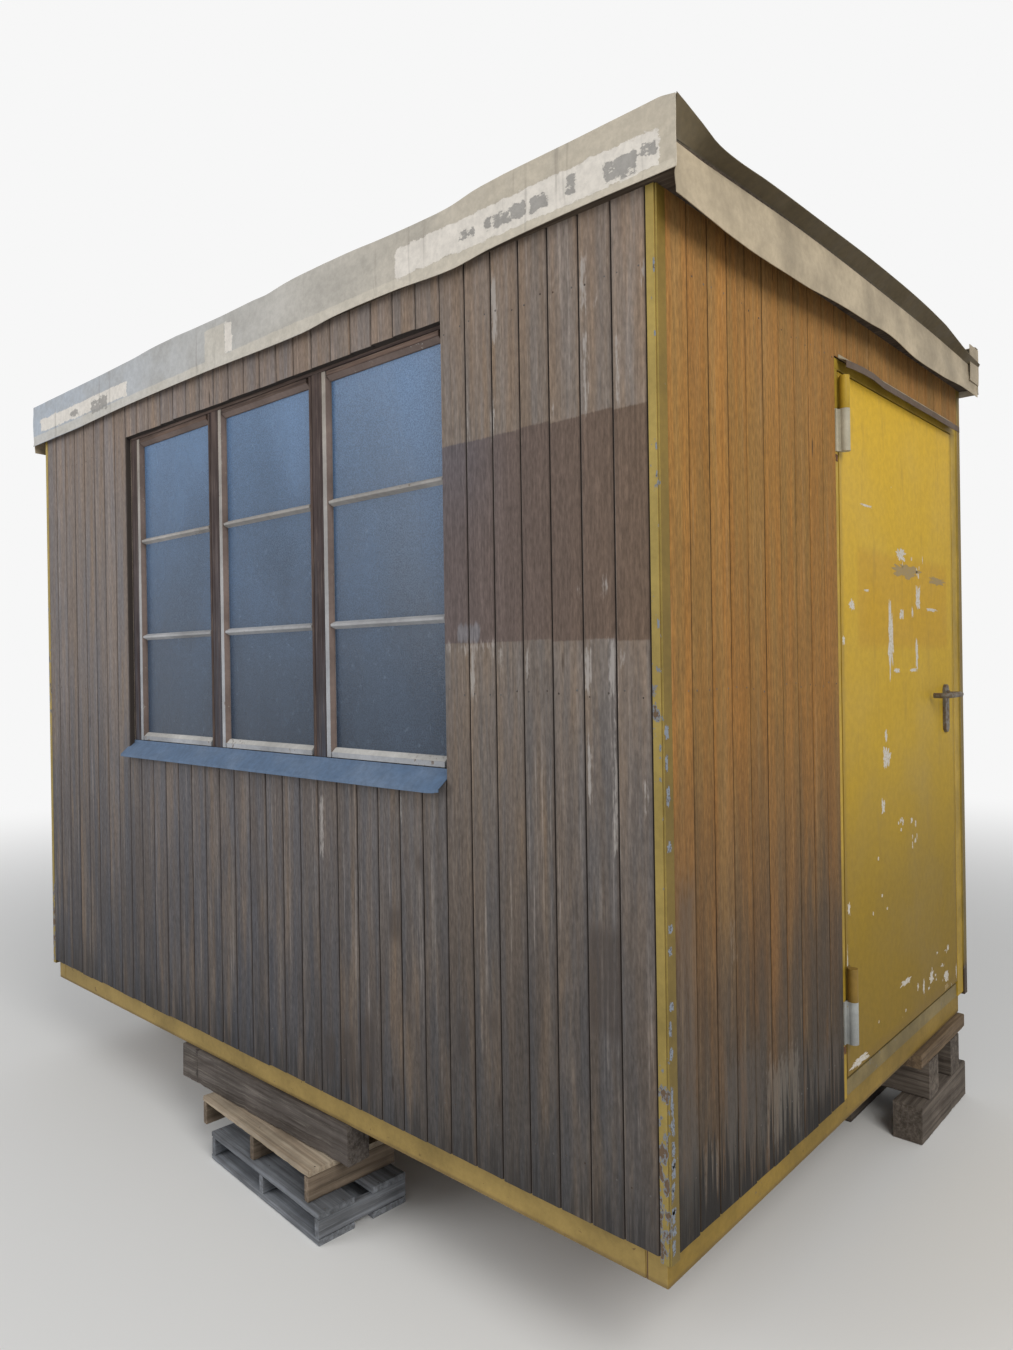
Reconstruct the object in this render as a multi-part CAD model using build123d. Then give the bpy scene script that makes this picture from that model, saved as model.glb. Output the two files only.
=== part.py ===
from build123d import *
import math
import os

os.makedirs("parts", exist_ok=True)

# Portable site cabin, in millimetres. X runs along the window wall, Y to the back, Z up from the ground.
# While it is built, x = y = 0 is the middle of the base frame. The last lines centre the whole footprint.

# Base frame
base_length = 3000
base_width = 1985
rail_height = 75
rail_flange = 55
rail_thickness = 5
bearer_count = 3
bearer_width = 50
bearer_height = 60
floor_thickness = 22

# Walls and corner posts
wall_overhang = 20
rear_wall_overhang = 45
wall_height = 2206
wall_thickness = 70
cladding_thickness = 20
post_front_face = 25
post_side_face = 36
post_notch = 4
post_lap = 10

# Window
window_from_left_end = 726
window_bays = 3
bay_width = 514
window_member = 46
window_sill_level = 965
wall_over_window = 82
cladding_over_right_jamb = 46
cladding_over_head = 37
sash_gap = 2
window_stop = 9
sash_stile = 24
sash_top_rail = 28
sash_bottom_rail = 28
sash_depth = 40
putty_bevel = 13
glass_setback = 18
glass_thickness = 4
sill_projection = 28
sill_drop = 50
sill_upstand = 8
sill_lip = 8
sill_left_overlap = 14

# Door
leaf_width = 1010
leaf_thickness = 40
leaf_setback = 5
leaf_above_rail = 57
leaf_gap = 5.5
leaf_floor_gap = 12
hinge_jamb_width = 24
lock_jamb_width = 29.5
jamb_stop = 12
head_height = 30
wall_over_door = 140.5
drip_projection = 22
drip_fall = 12
drip_lip = 18
drip_upstand = 10
drip_inset = 20

# Hinges and handle
hinge_axis_out = 19
hinge_axis_back = 1
knuckle_radius = 13.5
pin_radius = 5
pin_clearance = 0.05
knuckle_gap = 0.3
frame_knuckle = 118
leaf_knuckle = 92
knuckle_cap = 6
wing_thickness = 4
wing_width = 20
web_width = 7
lower_hinge_from_leaf_bottom = 98
upper_hinge_from_leaf_top = 225
handle_edge_distance = 102
handle_level = 1098
plate_width = 42
plate_height = 168
plate_thickness = 10
plate_above_spindle = 34
spindle_radius = 5
spindle_depth = 30
rose_radius = 13
rose_thickness = 7
lever_radius = 9
lever_projection = 58
lever_length = 160
lever_tip_gap = 14
lever_bend = 16

# Roof
roof_side_overhang = 55
roof_front_overhang = 18
roof_rear_overhang = 5
deck_thickness = 104
roof_crown = 26
ceiling_thickness = 9
sheet_thickness = 2
flange_width = 35
flange_rise = 22
flange_below_deck_top = 46
fascia_above_deck = 45
fascia_height = 154
fascia_past_verge = 8
fascia_lip = 30
fascia_crease = 12
fascia_kick = 4
verge_front_drop = 52
verge_rear_drop = 31
verge_gap = 2

# Timber supports
beam_height = 115
beam_width = 80
beam_length = 910
beam_proud = 12
pallet_height = 90
pallet_board = 18
pallet_stringer = 22
pallet_depth = 300
upper_pallet_length = 650
upper_pallet_shift = 58
upper_pallet_proud = 70
lower_pallet_length = 640
lower_pallet_shift = 125
lower_pallet_proud = 82
pallet_skew = -4.4
pallet_board_width = 120
plank_thickness = 47
plank_length = 470
plank_width = 140
plank_proud = 23
plank_from_back = 10
sleeper_width = 95
sleeper_length = 330
sleeper_spread = 230

# Levels and planes
support_height = beam_height + 2 * pallet_height
rail_top = support_height + rail_height
wall_top = rail_top + wall_height
floor_top = rail_top + floor_thickness
deck_top = wall_top + deck_thickness
right_face = base_length / 2 + wall_overhang
left_face = -right_face
front_face = -base_width / 2 - wall_overhang
back_face = base_width / 2 + rear_wall_overhang
deck_half_length = right_face + roof_side_overhang
deck_front = front_face - roof_front_overhang
deck_back = back_face + roof_rear_overhang
deck_middle = (deck_front + deck_back) / 2
crown_radius = (((deck_back - deck_front) / 2) ** 2 + roof_crown ** 2) / (2 * roof_crown)
crown_axis_level = deck_top + roof_crown - crown_radius

window_left = left_face + window_from_left_end
window_width = window_bays * bay_width + (window_bays + 1) * window_member
window_right = window_left + window_width
cladding_window_right = window_right - cladding_over_right_jamb
bay_bottom = rail_top + window_sill_level
window_top = wall_top - wall_over_window
bay_top = window_top - window_member
window_bottom = bay_bottom - window_member
cladding_window_top = window_top - cladding_over_head
frame_front = front_face + cladding_thickness
frame_back = front_face + wall_thickness
sash_back = frame_front + sash_depth
sill_slope = (sill_drop - sill_upstand) / (cladding_thickness + sill_projection)
cladding_window_bottom = bay_bottom - sill_upstand - sill_slope * cladding_thickness

leaf_front = right_face - leaf_setback
leaf_back = leaf_front - leaf_thickness
jamb_back = back_face - wall_thickness
doorway_back = jamb_back - lock_jamb_width
leaf_lock_edge = doorway_back - leaf_gap
leaf_hinge_edge = leaf_lock_edge - leaf_width
leaf_bottom = rail_top + leaf_above_rail
threshold_top = leaf_bottom - leaf_floor_gap
head_top = wall_top - wall_over_door
doorway_top = head_top - head_height
leaf_top = doorway_top - leaf_gap
doorway_front = leaf_hinge_edge - leaf_gap
jamb_front = doorway_front - hinge_jamb_width
jamb_cover_back = back_face - post_side_face
sleeper_height = (support_height - plank_thickness) / 2
hinge_x = leaf_front + hinge_axis_out
hinge_y = leaf_hinge_edge - hinge_axis_back
spindle_y = leaf_lock_edge - handle_edge_distance
spindle_z = rail_top + handle_level
hinge_feet = (leaf_bottom + lower_hinge_from_leaf_bottom, leaf_top - upper_hinge_from_leaf_top)


# Shapes used all over

def block(x0, x1, y0, y1, z0, z1):
    """A box between two corners."""
    middle = Pos((x0 + x1) / 2, (y0 + y1) / 2, (z0 + z1) / 2)
    return middle * Box(x1 - x0, y1 - y0, z1 - z0)


def along_x(outline, x0, x1):
    """An outline of (y, z) points, drawn out from x0 to x1."""
    face = make_face(Polyline(*[(x0, y, z) for y, z in outline], close=True))
    return extrude(face, x1 - x0, dir=(1, 0, 0))


def along_y(outline, y0, y1):
    """An outline of (x, z) points, drawn out from y0 to y1."""
    face = make_face(Polyline(*[(x, y0, z) for x, z in outline], close=True))
    return extrude(face, y1 - y0, dir=(0, 1, 0))


def along_z(outline, z0, z1):
    """An outline of (x, y) points, drawn out from z0 to z1."""
    face = make_face(Polyline(*[(x, y, z0) for x, y in outline], close=True))
    return extrude(face, z1 - z0, dir=(0, 0, 1))


def upright_face(x0, x1, y, z0, z1):
    """A rectangle in the plane of the window wall."""
    return make_face(Polyline((x0, y, z0), (x1, y, z0), (x1, y, z1), (x0, y, z1), close=True))


def folded(points, thickness):
    """The closed outline of a folded sheet: one face follows the points, the other lies to their left."""
    normals = []
    for a, b in zip(points, points[1:]):
        length = math.dist(a, b)
        normals.append(((a[1] - b[1]) / length, (b[0] - a[0]) / length))
    before = [normals[0]] + normals
    after = normals + [normals[-1]]
    other = []
    for point, n, m in zip(points, before, after):
        share = thickness / (1 + n[0] * m[0] + n[1] * m[1])
        other.append((point[0] + (n[0] + m[0]) * share, point[1] + (n[1] + m[1]) * share))
    return points + other[::-1]


# Base frame and floor

def long_rail(side):
    """A channel with its back outwards, between the two side rails. side is -1 at the front, 1 at the back."""
    outer = side * base_width / 2
    web = outer - side * rail_thickness
    inner = outer - side * rail_flange
    low = support_height
    upper_flange = rail_top - rail_thickness
    outline = [
        (outer, low), (inner, low), (inner, low + rail_thickness), (web, low + rail_thickness),
        (web, upper_flange), (inner, upper_flange), (inner, rail_top), (outer, rail_top),
    ]
    reach = base_length / 2 - rail_flange
    return along_x(outline, -reach, reach)


def side_rail(side):
    """A channel over the full width, closed by a plate at both ends. side is -1 at the left, 1 at the right."""
    outer = side * base_length / 2
    inner = outer - side * rail_flange
    web = outer - side * rail_thickness
    low, high = sorted((outer, inner))
    pocket_low, pocket_high = sorted((web, inner))
    reach = base_width / 2
    rail = block(low, high, -reach, reach, support_height, rail_top)
    pocket_reach = reach - rail_thickness
    return rail - block(
        pocket_low, pocket_high, -pocket_reach, pocket_reach,
        support_height + rail_thickness, rail_top - rail_thickness,
    )


def floor_bearers():
    """Joists between the long rails, level with the rails' top."""
    reach = base_width / 2 - rail_flange
    spacing = (base_length - 2 * rail_flange) / (bearer_count + 1)
    first = -base_length / 2 + rail_flange + spacing
    bearers = []
    for i in range(bearer_count):
        x = first + i * spacing
        bearers.append(block(
            x - bearer_width / 2, x + bearer_width / 2, -reach, reach,
            rail_top - bearer_height, rail_top,
        ))
    return Compound(bearers)


def floor_boards():
    """The floor between the walls."""
    return block(
        left_face + wall_thickness, right_face - wall_thickness,
        front_face + wall_thickness, back_face - wall_thickness, rail_top, floor_top,
    )


# Corner posts

def corner_post(side_x, side_y):
    """A post whose two rebates take the cladding of both walls. Its foot laps down over the base frame."""
    step = cladding_thickness
    full = wall_thickness
    notch = post_notch
    inward = [
        (notch, 0), (post_front_face, 0), (post_front_face, step), (full, step), (full, full),
        (step, full), (step, post_side_face), (0, post_side_face), (0, notch), (notch, notch),
    ]
    face_y = front_face if side_y < 0 else back_face
    outline = [(side_x * (right_face - u), face_y - side_y * v) for u, v in inward]
    post = along_z(outline, rail_top - post_lap, wall_top)
    reach_x = base_length / 2
    reach_y = base_width / 2
    return post - block(-reach_x, reach_x, -reach_y, reach_y, support_height, rail_top)


def corner_posts():
    return Compound([corner_post(x, y) for x in (-1, 1) for y in (-1, 1)])


# Walls. Each is a core with the cladding on its outer face, and the two may end in different places.

def window_wall_panel(outer, inner):
    """Part of the front wall. outer and inner are the (x0, x1, z0, z1) of the cladding and of the core."""
    x0, x1, z0, z1 = outer
    cladding = block(x0, x1, front_face, frame_front, z0, z1)
    x0, x1, z0, z1 = inner
    return cladding + block(x0, x1, frame_front, frame_back, z0, z1)


def front_wall_left():
    x0 = left_face + post_front_face
    return window_wall_panel(
        (x0, window_left, rail_top, wall_top),
        (left_face + wall_thickness, window_left, rail_top, wall_top),
    )


def front_wall_right():
    x1 = right_face - post_front_face
    return window_wall_panel(
        (cladding_window_right, x1, rail_top, wall_top),
        (window_right, right_face - wall_thickness, rail_top, wall_top),
    )


def front_wall_below_window():
    return window_wall_panel(
        (window_left, cladding_window_right, rail_top, cladding_window_bottom),
        (window_left, window_right, rail_top, window_bottom),
    )


def front_wall_over_window():
    return window_wall_panel(
        (window_left, cladding_window_right, cladding_window_top, wall_top),
        (window_left, window_right, window_top, wall_top),
    )


def back_wall():
    cladding_reach = right_face - post_front_face
    core_reach = right_face - wall_thickness
    core_outer = back_face - cladding_thickness
    cladding = block(-cladding_reach, cladding_reach, core_outer, back_face, rail_top, wall_top)
    core_inner = back_face - wall_thickness
    return cladding + block(-core_reach, core_reach, core_inner, core_outer, rail_top, wall_top)


def left_wall():
    core_outer = left_face + cladding_thickness
    core_inner = left_face + wall_thickness
    y0 = front_face + post_side_face
    y1 = back_face - post_side_face
    cladding = block(left_face, core_outer, y0, y1, rail_top, wall_top)
    y0 = front_face + wall_thickness
    y1 = back_face - wall_thickness
    return cladding + block(core_outer, core_inner, y0, y1, rail_top, wall_top)


def right_wall_beside_door():
    """From the front post to the door's hinge jamb."""
    core_outer = right_face - cladding_thickness
    core_inner = right_face - wall_thickness
    cladding = block(core_outer, right_face, front_face + post_side_face, jamb_front, rail_top, wall_top)
    core = block(core_inner, core_outer, front_face + wall_thickness, jamb_front, rail_top, wall_top)
    return cladding + core


def right_wall_over_door():
    """Over the door, and behind its lock jamb up to the back post."""
    core_outer = right_face - cladding_thickness
    core_inner = right_face - wall_thickness
    cladding = block(core_outer, right_face, jamb_front, back_face - post_side_face, head_top, wall_top)
    core = block(core_inner, core_outer, jamb_front, back_face - wall_thickness, head_top, wall_top)
    return cladding + core


# Window

def bay_left(i):
    return window_left + window_member + i * (bay_width + window_member)


def window_frame_rails():
    """The head and the cill of the window frame, each with a stop behind every sash."""
    head = block(window_left, window_right, frame_front, frame_back, bay_top, window_top)
    cill = block(window_left, window_right, frame_front, frame_back, window_bottom, bay_bottom)
    for i in range(window_bays):
        x0 = bay_left(i) + window_stop
        x1 = bay_left(i) + bay_width - window_stop
        head += block(x0, x1, sash_back, frame_back, bay_top - window_stop, bay_top)
        cill += block(x0, x1, sash_back, frame_back, bay_bottom, bay_bottom + window_stop)
    return Compound([head, cill])


def window_frame_posts():
    """The two jambs and the mullions between the bays, with the stops that the sashes close against."""
    posts = []
    for i in range(window_bays + 1):
        x1 = bay_left(i)
        x0 = x1 - window_member
        post = block(x0, x1, frame_front, frame_back, bay_bottom, bay_top)
        stop_left = x0 if i == 0 else x0 - window_stop
        stop_right = x1 if i == window_bays else x1 + window_stop
        posts.append(post + block(stop_left, stop_right, sash_back, frame_back, bay_bottom, bay_top))
    return Compound(posts)


def glass_opening(i):
    """The glazed area (x0, x1, z0, z1) of one sash."""
    x0 = bay_left(i) + sash_gap + sash_stile
    x1 = bay_left(i) + bay_width - sash_gap - sash_stile
    return x0, x1, bay_bottom + sash_gap + sash_bottom_rail, bay_top - sash_gap - sash_top_rail


def window_sash(i):
    """A casement whose inner edge is bevelled down to the glass, like putty."""
    x0, x1, z0, z1 = glass_opening(i)
    sash = block(
        x0 - sash_stile, x1 + sash_stile, frame_front, sash_back,
        z0 - sash_bottom_rail, z1 + sash_top_rail,
    )
    sash -= block(x0, x1, frame_front, sash_back, z0, z1)
    return sash - loft([
        upright_face(x0 - putty_bevel, x1 + putty_bevel, frame_front, z0 - putty_bevel, z1 + putty_bevel),
        upright_face(x0, x1, frame_front + putty_bevel, z0, z1),
    ])


def window_glass():
    panes = []
    for i in range(window_bays):
        x0, x1, z0, z1 = glass_opening(i)
        y = frame_front + glass_setback
        panes.append(block(x0, x1, y, y + glass_thickness, z0, z1))
    return Compound(panes)


def window_sill_flashing():
    """A folded metal strip from the frame down over the boards, with a turned-down lip."""
    nose = (front_face - sill_projection, bay_bottom - sill_drop)
    points = [
        (frame_front, bay_bottom), (frame_front, bay_bottom - sill_upstand),
        nose, (nose[0], nose[1] - sill_lip),
    ]
    left = window_left - sill_left_overlap
    flashing = along_x(folded(points, -sheet_thickness), left, cladding_window_right)
    return flashing - block(left, window_left, front_face, frame_front, nose[1], bay_bottom)


# Door frame

def door_jamb(outer, edge, side):
    """A jamb with a stop behind the leaf. side is 1 where the doorway is towards +Y."""
    low, high = sorted((outer, edge))
    inner_face = right_face - wall_thickness
    jamb = block(inner_face, leaf_front, low, high, rail_top, doorway_top)
    stop_edge = edge + side * (leaf_gap + jamb_stop)
    stop_low, stop_high = sorted((edge, stop_edge))
    return jamb + block(inner_face, leaf_back - leaf_gap, stop_low, stop_high, threshold_top, doorway_top)


def post_cover(z0, z1):
    """The strip of the door frame that laps over the back post."""
    return block(right_face - cladding_thickness, leaf_front, jamb_back, jamb_cover_back, z0, z1)


def door_jambs():
    hinge_jamb = door_jamb(jamb_front, doorway_front, 1)
    lock_jamb = door_jamb(jamb_back, doorway_back, -1)
    return Compound([hinge_jamb, lock_jamb + post_cover(rail_top, doorway_top)])


def door_head():
    inner_face = right_face - wall_thickness
    head = block(inner_face, leaf_front, jamb_front, jamb_back, doorway_top, head_top)
    return head + post_cover(doorway_top, head_top)


def door_threshold():
    inner_face = right_face - wall_thickness
    return block(inner_face, leaf_front - leaf_setback, doorway_front, doorway_back, rail_top, threshold_top)


def door_drip_strip():
    """A folded strip over the door that throws the rain clear of it."""
    nose = (right_face + drip_projection, head_top - drip_fall)
    points = [
        (right_face, head_top + drip_upstand), (right_face, head_top),
        nose, (nose[0], nose[1] - drip_lip),
    ]
    return along_y(folded(points, sheet_thickness), jamb_front + drip_inset, jamb_back - drip_inset)


# Door leaf, hinges and handle

def door_leaf():
    leaf = block(leaf_back, leaf_front, leaf_hinge_edge, leaf_lock_edge, leaf_bottom, leaf_top)
    hole = Pos(leaf_front - spindle_depth / 2, spindle_y, spindle_z)
    return leaf - hole * Rot(0, 90, 0) * Cylinder(spindle_radius + pin_clearance, spindle_depth)


def knuckle(z0, z1):
    return Pos(hinge_x, hinge_y, (z0 + z1) / 2) * Cylinder(knuckle_radius, z1 - z0)


def hinge_wing(side, start, z0, z1):
    """The plate and the web that join a knuckle to the jamb (side -1) or to the leaf (side 1)."""
    near = hinge_y + side * start
    web_low, web_high = sorted((near, near + side * web_width))
    web = block(leaf_front, hinge_x, web_low, web_high, z0, z1)
    plate_low, plate_high = sorted((near, near + side * wing_width))
    plate = block(leaf_front, leaf_front + wing_thickness, plate_low, plate_high, z0, z1)
    return web + plate


def hinge_frame_half(foot):
    """The jamb's half: its knuckle carries the pin."""
    z0 = foot
    z1 = z0 + frame_knuckle
    pin_length = leaf_knuckle + knuckle_gap - knuckle_cap
    pin = Pos(hinge_x, hinge_y, z1 + pin_length / 2) * Cylinder(pin_radius, pin_length)
    wing = hinge_wing(-1, leaf_gap - hinge_axis_back, z0, z1)
    return knuckle(z0, z1) + wing + pin


def hinge_leaf_half(foot):
    """The leaf's half: a capped knuckle that drops over the pin."""
    z0 = foot + frame_knuckle + knuckle_gap
    z1 = z0 + leaf_knuckle
    half = knuckle(z0, z1) + hinge_wing(1, hinge_axis_back, z0, z1)
    bore_length = leaf_knuckle - knuckle_cap + knuckle_gap
    bore = Pos(hinge_x, hinge_y, z0 + bore_length / 2) * Cylinder(pin_radius + pin_clearance, bore_length)
    return half - bore


def hinge_frame_halves():
    return Compound([hinge_frame_half(foot) for foot in hinge_feet])


def hinge_leaf_halves():
    return Compound([hinge_leaf_half(foot) for foot in hinge_feet])


def handle_plate():
    """The narrow thick plate behind the lever, round at both ends."""
    face = Plane((leaf_front, spindle_y, spindle_z), x_dir=(0, 0, 1), z_dir=(1, 0, 0))
    middle = plate_above_spindle - plate_height / 2
    outline = Pos(middle, 0) * SlotOverall(plate_height, plate_width)
    outline -= Circle(spindle_radius + pin_clearance)
    return extrude(face * outline, plate_thickness)


def door_lever():
    """A lever of round bar whose grip turns back towards the door."""
    start = leaf_front + plate_thickness + knuckle_gap
    out = leaf_front + lever_projection
    tip = leaf_front + lever_tip_gap
    path = FilletPolyline(
        (start, spindle_y, spindle_z), (out, spindle_y, spindle_z),
        (out, spindle_y - lever_length, spindle_z), (tip, spindle_y - lever_length, spindle_z),
        radius=lever_bend,
    )
    bar = sweep(Plane(path @ 0, z_dir=path % 0) * Circle(lever_radius), path)
    turn = Rot(0, 90, 0)
    rose = Pos(start + rose_thickness / 2, spindle_y, spindle_z) * turn * Cylinder(rose_radius, rose_thickness)
    root = leaf_front - spindle_depth
    spindle = Pos((root + start) / 2, spindle_y, spindle_z) * turn * Cylinder(spindle_radius, start - root)
    return bar + rose + spindle


# Roof

def arch(y0, y1, drop):
    """The line of the roof's crown from y0 to y1, drop below the deck's top."""
    radius = crown_radius - drop

    def point(y):
        return 0, y, crown_axis_level + math.sqrt(radius ** 2 - (y - deck_middle) ** 2)

    return ThreePointArc(point(y0), point((y0 + y1) / 2), point(y1))


def under_arch(x0, x1, drop, front_level, back_level):
    """A solid from x0 to x1 below the crown's line, on a straight line between the two levels."""
    top = arch(deck_front, deck_back, drop)
    front = (0, deck_front, front_level)
    back = (0, deck_back, back_level)
    face = make_face([top, Line(top @ 1, back), Line(back, front), Line(front, top @ 0)])
    return Pos(x0, 0, 0) * extrude(face, x1 - x0, dir=(1, 0, 0))


def roof_deck():
    """The closed roof box, with its top crowned from front to back."""
    return under_arch(-deck_half_length, deck_half_length, 0, wall_top, wall_top)


def ceiling():
    return block(
        left_face + wall_thickness, right_face - wall_thickness,
        front_face + wall_thickness, back_face - wall_thickness,
        wall_top - ceiling_thickness, wall_top,
    )


def roof_sheet():
    """One sheet over the crowned deck, folded down both sides and out again as a drip flange."""
    low = -flange_below_deck_top
    out = deck_half_length + flange_width
    right = [(deck_half_length, 0), (deck_half_length, low), (out, low + flange_rise)]
    left = [(-x, z) for x, z in right[::-1]]
    outline = folded(left + right, sheet_thickness)
    crown = deck_top + roof_crown
    face = make_face(Polyline(*[(x, deck_middle, crown + z) for x, z in outline], close=True))
    axis = Axis((0, deck_middle, crown_axis_level), (1, 0, 0))
    turn = 2 * math.degrees(math.asin((deck_back - deck_front) / crown_radius))
    sheet = revolve(face.rotate(axis, -turn / 2), axis, turn)
    return sheet & block(-2 * out, 2 * out, deck_front, deck_back, 0, 2 * deck_top)


def fascia(side):
    """The folded fascia of the front (side -1) or the back (side 1)."""
    inner = deck_front if side < 0 else deck_back
    top = deck_top + fascia_above_deck
    bottom = top - fascia_height
    lip = inner - side * fascia_lip
    kicked = inner + side * fascia_kick
    points = [(kicked, bottom), (inner, bottom + fascia_crease), (inner, top), (lip, top)]
    outline = folded(points, -side * sheet_thickness)
    reach = deck_half_length + fascia_past_verge
    return along_x(outline, -reach, reach)


def verge(side):
    """The strip along the deck's left (side -1) or right (side 1) edge, up to the roof sheet's fold."""
    inner = side * deck_half_length
    low, high = sorted((inner, inner + side * sheet_thickness))
    drop = flange_below_deck_top + verge_gap
    return under_arch(low, high, drop, wall_top - verge_front_drop, wall_top - verge_rear_drop)


# Timber supports

def front_beam():
    """A beam under the middle of the front rail."""
    front = -base_width / 2 - beam_proud
    return block(
        -beam_length / 2, beam_length / 2, front, front + beam_width,
        support_height - beam_height, support_height,
    )


def pallet(length, shift, proud, base, low_boards):
    """A short pallet: two boards on three stringers, and two more below where low_boards is set."""
    front = -base_width / 2 - proud
    top = base + pallet_height
    half = length / 2
    stringer_base = base + (pallet_board if low_boards else 0)
    pieces = []
    for x in (-half, -pallet_stringer / 2, half - pallet_stringer):
        pieces.append(block(
            x, x + pallet_stringer, 0, pallet_depth, stringer_base, top - pallet_board,
        ))
    board_backs = (0, pallet_depth - pallet_board_width)
    for y in board_backs:
        pieces.append(block(-half, half, y, y + pallet_board_width, top - pallet_board, top))
        if low_boards:
            pieces.append(block(-half, half, y, y + pallet_board_width, base, base + pallet_board))
    whole = pieces[0].fuse(*pieces[1:])
    return Pos(shift, front, 0) * Rot(0, 0, pallet_skew) * whole


def front_pallet_upper():
    return pallet(upper_pallet_length, upper_pallet_shift, upper_pallet_proud, pallet_height, False)


def front_pallet_lower():
    return pallet(lower_pallet_length, lower_pallet_shift, lower_pallet_proud, 0, True)


def rear_planks():
    """A plank under each side rail, near the back."""
    planks = []
    back = base_width / 2 - plank_from_back
    for side in (-1, 1):
        outer = side * (base_length / 2 + plank_proud)
        low, high = sorted((outer, outer - side * plank_width))
        planks.append(block(
            low, high, back - plank_length, back,
            support_height - plank_thickness, support_height,
        ))
    return Compound(planks)


def rear_sleepers_upper():
    """Two sleepers across, under each plank."""
    sleepers = []
    middle = base_width / 2 - plank_from_back - plank_length / 2
    for side in (-1, 1):
        outer = side * (base_length / 2 + plank_proud)
        low, high = sorted((outer, outer - side * sleeper_length))
        for way in (-1, 1):
            y = middle + way * sleeper_spread / 2
            sleepers.append(block(
                low, high, y - sleeper_width / 2, y + sleeper_width / 2,
                sleeper_height, 2 * sleeper_height,
            ))
    return Compound(sleepers)


def rear_sleepers_lower():
    """Two sleepers the other way, on the ground."""
    sleepers = []
    middle = base_width / 2 - plank_from_back - plank_length / 2
    for side in (-1, 1):
        outer = base_length / 2 + plank_proud
        for inset in (sleeper_width / 2, sleeper_length - sleeper_width / 2):
            x = side * (outer - inset)
            sleepers.append(block(
                x - sleeper_width / 2, x + sleeper_width / 2,
                middle - plank_length / 2, middle + plank_length / 2, 0, sleeper_height,
            ))
    return Compound(sleepers)


nodes = {
    "base_rail_front": long_rail(-1),
    "base_rail_back": long_rail(1),
    "base_rail_left": side_rail(-1),
    "base_rail_right": side_rail(1),
    "floor_bearers": floor_bearers(),
    "floor_boards": floor_boards(),
    "corner_posts": corner_posts(),
    "front_wall_left": front_wall_left(),
    "front_wall_right": front_wall_right(),
    "front_wall_below_window": front_wall_below_window(),
    "front_wall_over_window": front_wall_over_window(),
    "back_wall": back_wall(),
    "left_wall": left_wall(),
    "right_wall_beside_door": right_wall_beside_door(),
    "right_wall_over_door": right_wall_over_door(),
    "window_frame_rails": window_frame_rails(),
    "window_frame_posts": window_frame_posts(),
    "window_sash_left": window_sash(0),
    "window_sash_middle": window_sash(1),
    "window_sash_right": window_sash(2),
    "window_glass": window_glass(),
    "window_sill_flashing": window_sill_flashing(),
    "door_jambs": door_jambs(),
    "door_head": door_head(),
    "door_threshold": door_threshold(),
    "door_drip_strip": door_drip_strip(),
    "door_leaf": door_leaf(),
    "hinge_frame_halves": hinge_frame_halves(),
    "hinge_leaf_halves": hinge_leaf_halves(),
    "handle_plate": handle_plate(),
    "door_lever": door_lever(),
    "ceiling": ceiling(),
    "roof_deck": roof_deck(),
    "roof_sheet": roof_sheet(),
    "front_fascia": fascia(-1),
    "rear_fascia": fascia(1),
    "right_verge": verge(1),
    "left_verge": verge(-1),
    "front_beam": front_beam(),
    "front_pallet_upper": front_pallet_upper(),
    "front_pallet_lower": front_pallet_lower(),
    "rear_planks": rear_planks(),
    "rear_sleepers_upper": rear_sleepers_upper(),
    "rear_sleepers_lower": rear_sleepers_lower(),
}

# The origin is on the ground, in the middle of the whole footprint
footprint = Compound(list(nodes.values())).bounding_box()
centre = Pos(-(footprint.min.X + footprint.max.X) / 2, -(footprint.min.Y + footprint.max.Y) / 2, 0)
for name, shape in nodes.items():
    export_step(centre * shape, f"parts/{name}.step")
print("footprint", footprint.min, footprint.max)
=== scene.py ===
import math
import random

import bmesh
import bpy
from mathutils import Matrix, Vector, noise

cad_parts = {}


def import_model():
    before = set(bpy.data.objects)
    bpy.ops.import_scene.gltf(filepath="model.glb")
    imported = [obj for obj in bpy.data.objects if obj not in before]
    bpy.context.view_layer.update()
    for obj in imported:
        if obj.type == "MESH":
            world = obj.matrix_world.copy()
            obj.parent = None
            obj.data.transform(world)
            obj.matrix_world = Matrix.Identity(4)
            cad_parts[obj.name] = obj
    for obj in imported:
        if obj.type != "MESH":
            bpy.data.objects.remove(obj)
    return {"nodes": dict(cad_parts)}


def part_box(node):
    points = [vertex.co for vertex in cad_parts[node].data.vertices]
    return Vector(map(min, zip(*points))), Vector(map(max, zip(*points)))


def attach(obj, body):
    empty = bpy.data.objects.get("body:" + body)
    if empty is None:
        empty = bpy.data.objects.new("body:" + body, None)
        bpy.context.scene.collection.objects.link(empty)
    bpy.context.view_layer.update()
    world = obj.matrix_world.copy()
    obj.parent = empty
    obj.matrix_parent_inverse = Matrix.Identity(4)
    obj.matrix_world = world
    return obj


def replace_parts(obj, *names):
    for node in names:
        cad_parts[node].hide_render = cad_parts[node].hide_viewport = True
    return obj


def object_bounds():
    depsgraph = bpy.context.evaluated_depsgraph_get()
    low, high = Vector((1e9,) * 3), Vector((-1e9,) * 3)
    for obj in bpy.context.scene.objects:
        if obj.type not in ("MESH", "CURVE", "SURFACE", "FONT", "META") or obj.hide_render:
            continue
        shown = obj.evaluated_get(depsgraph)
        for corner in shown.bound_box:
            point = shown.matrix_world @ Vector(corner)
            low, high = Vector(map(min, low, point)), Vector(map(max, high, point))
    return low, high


# Portable site cabin, in metres. CORNER is the lowest point of the base frame at the corner nearest the
# camera, and what was measured in the photograph is written from there.

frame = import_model()
cad_low, cad_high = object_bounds()

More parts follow.
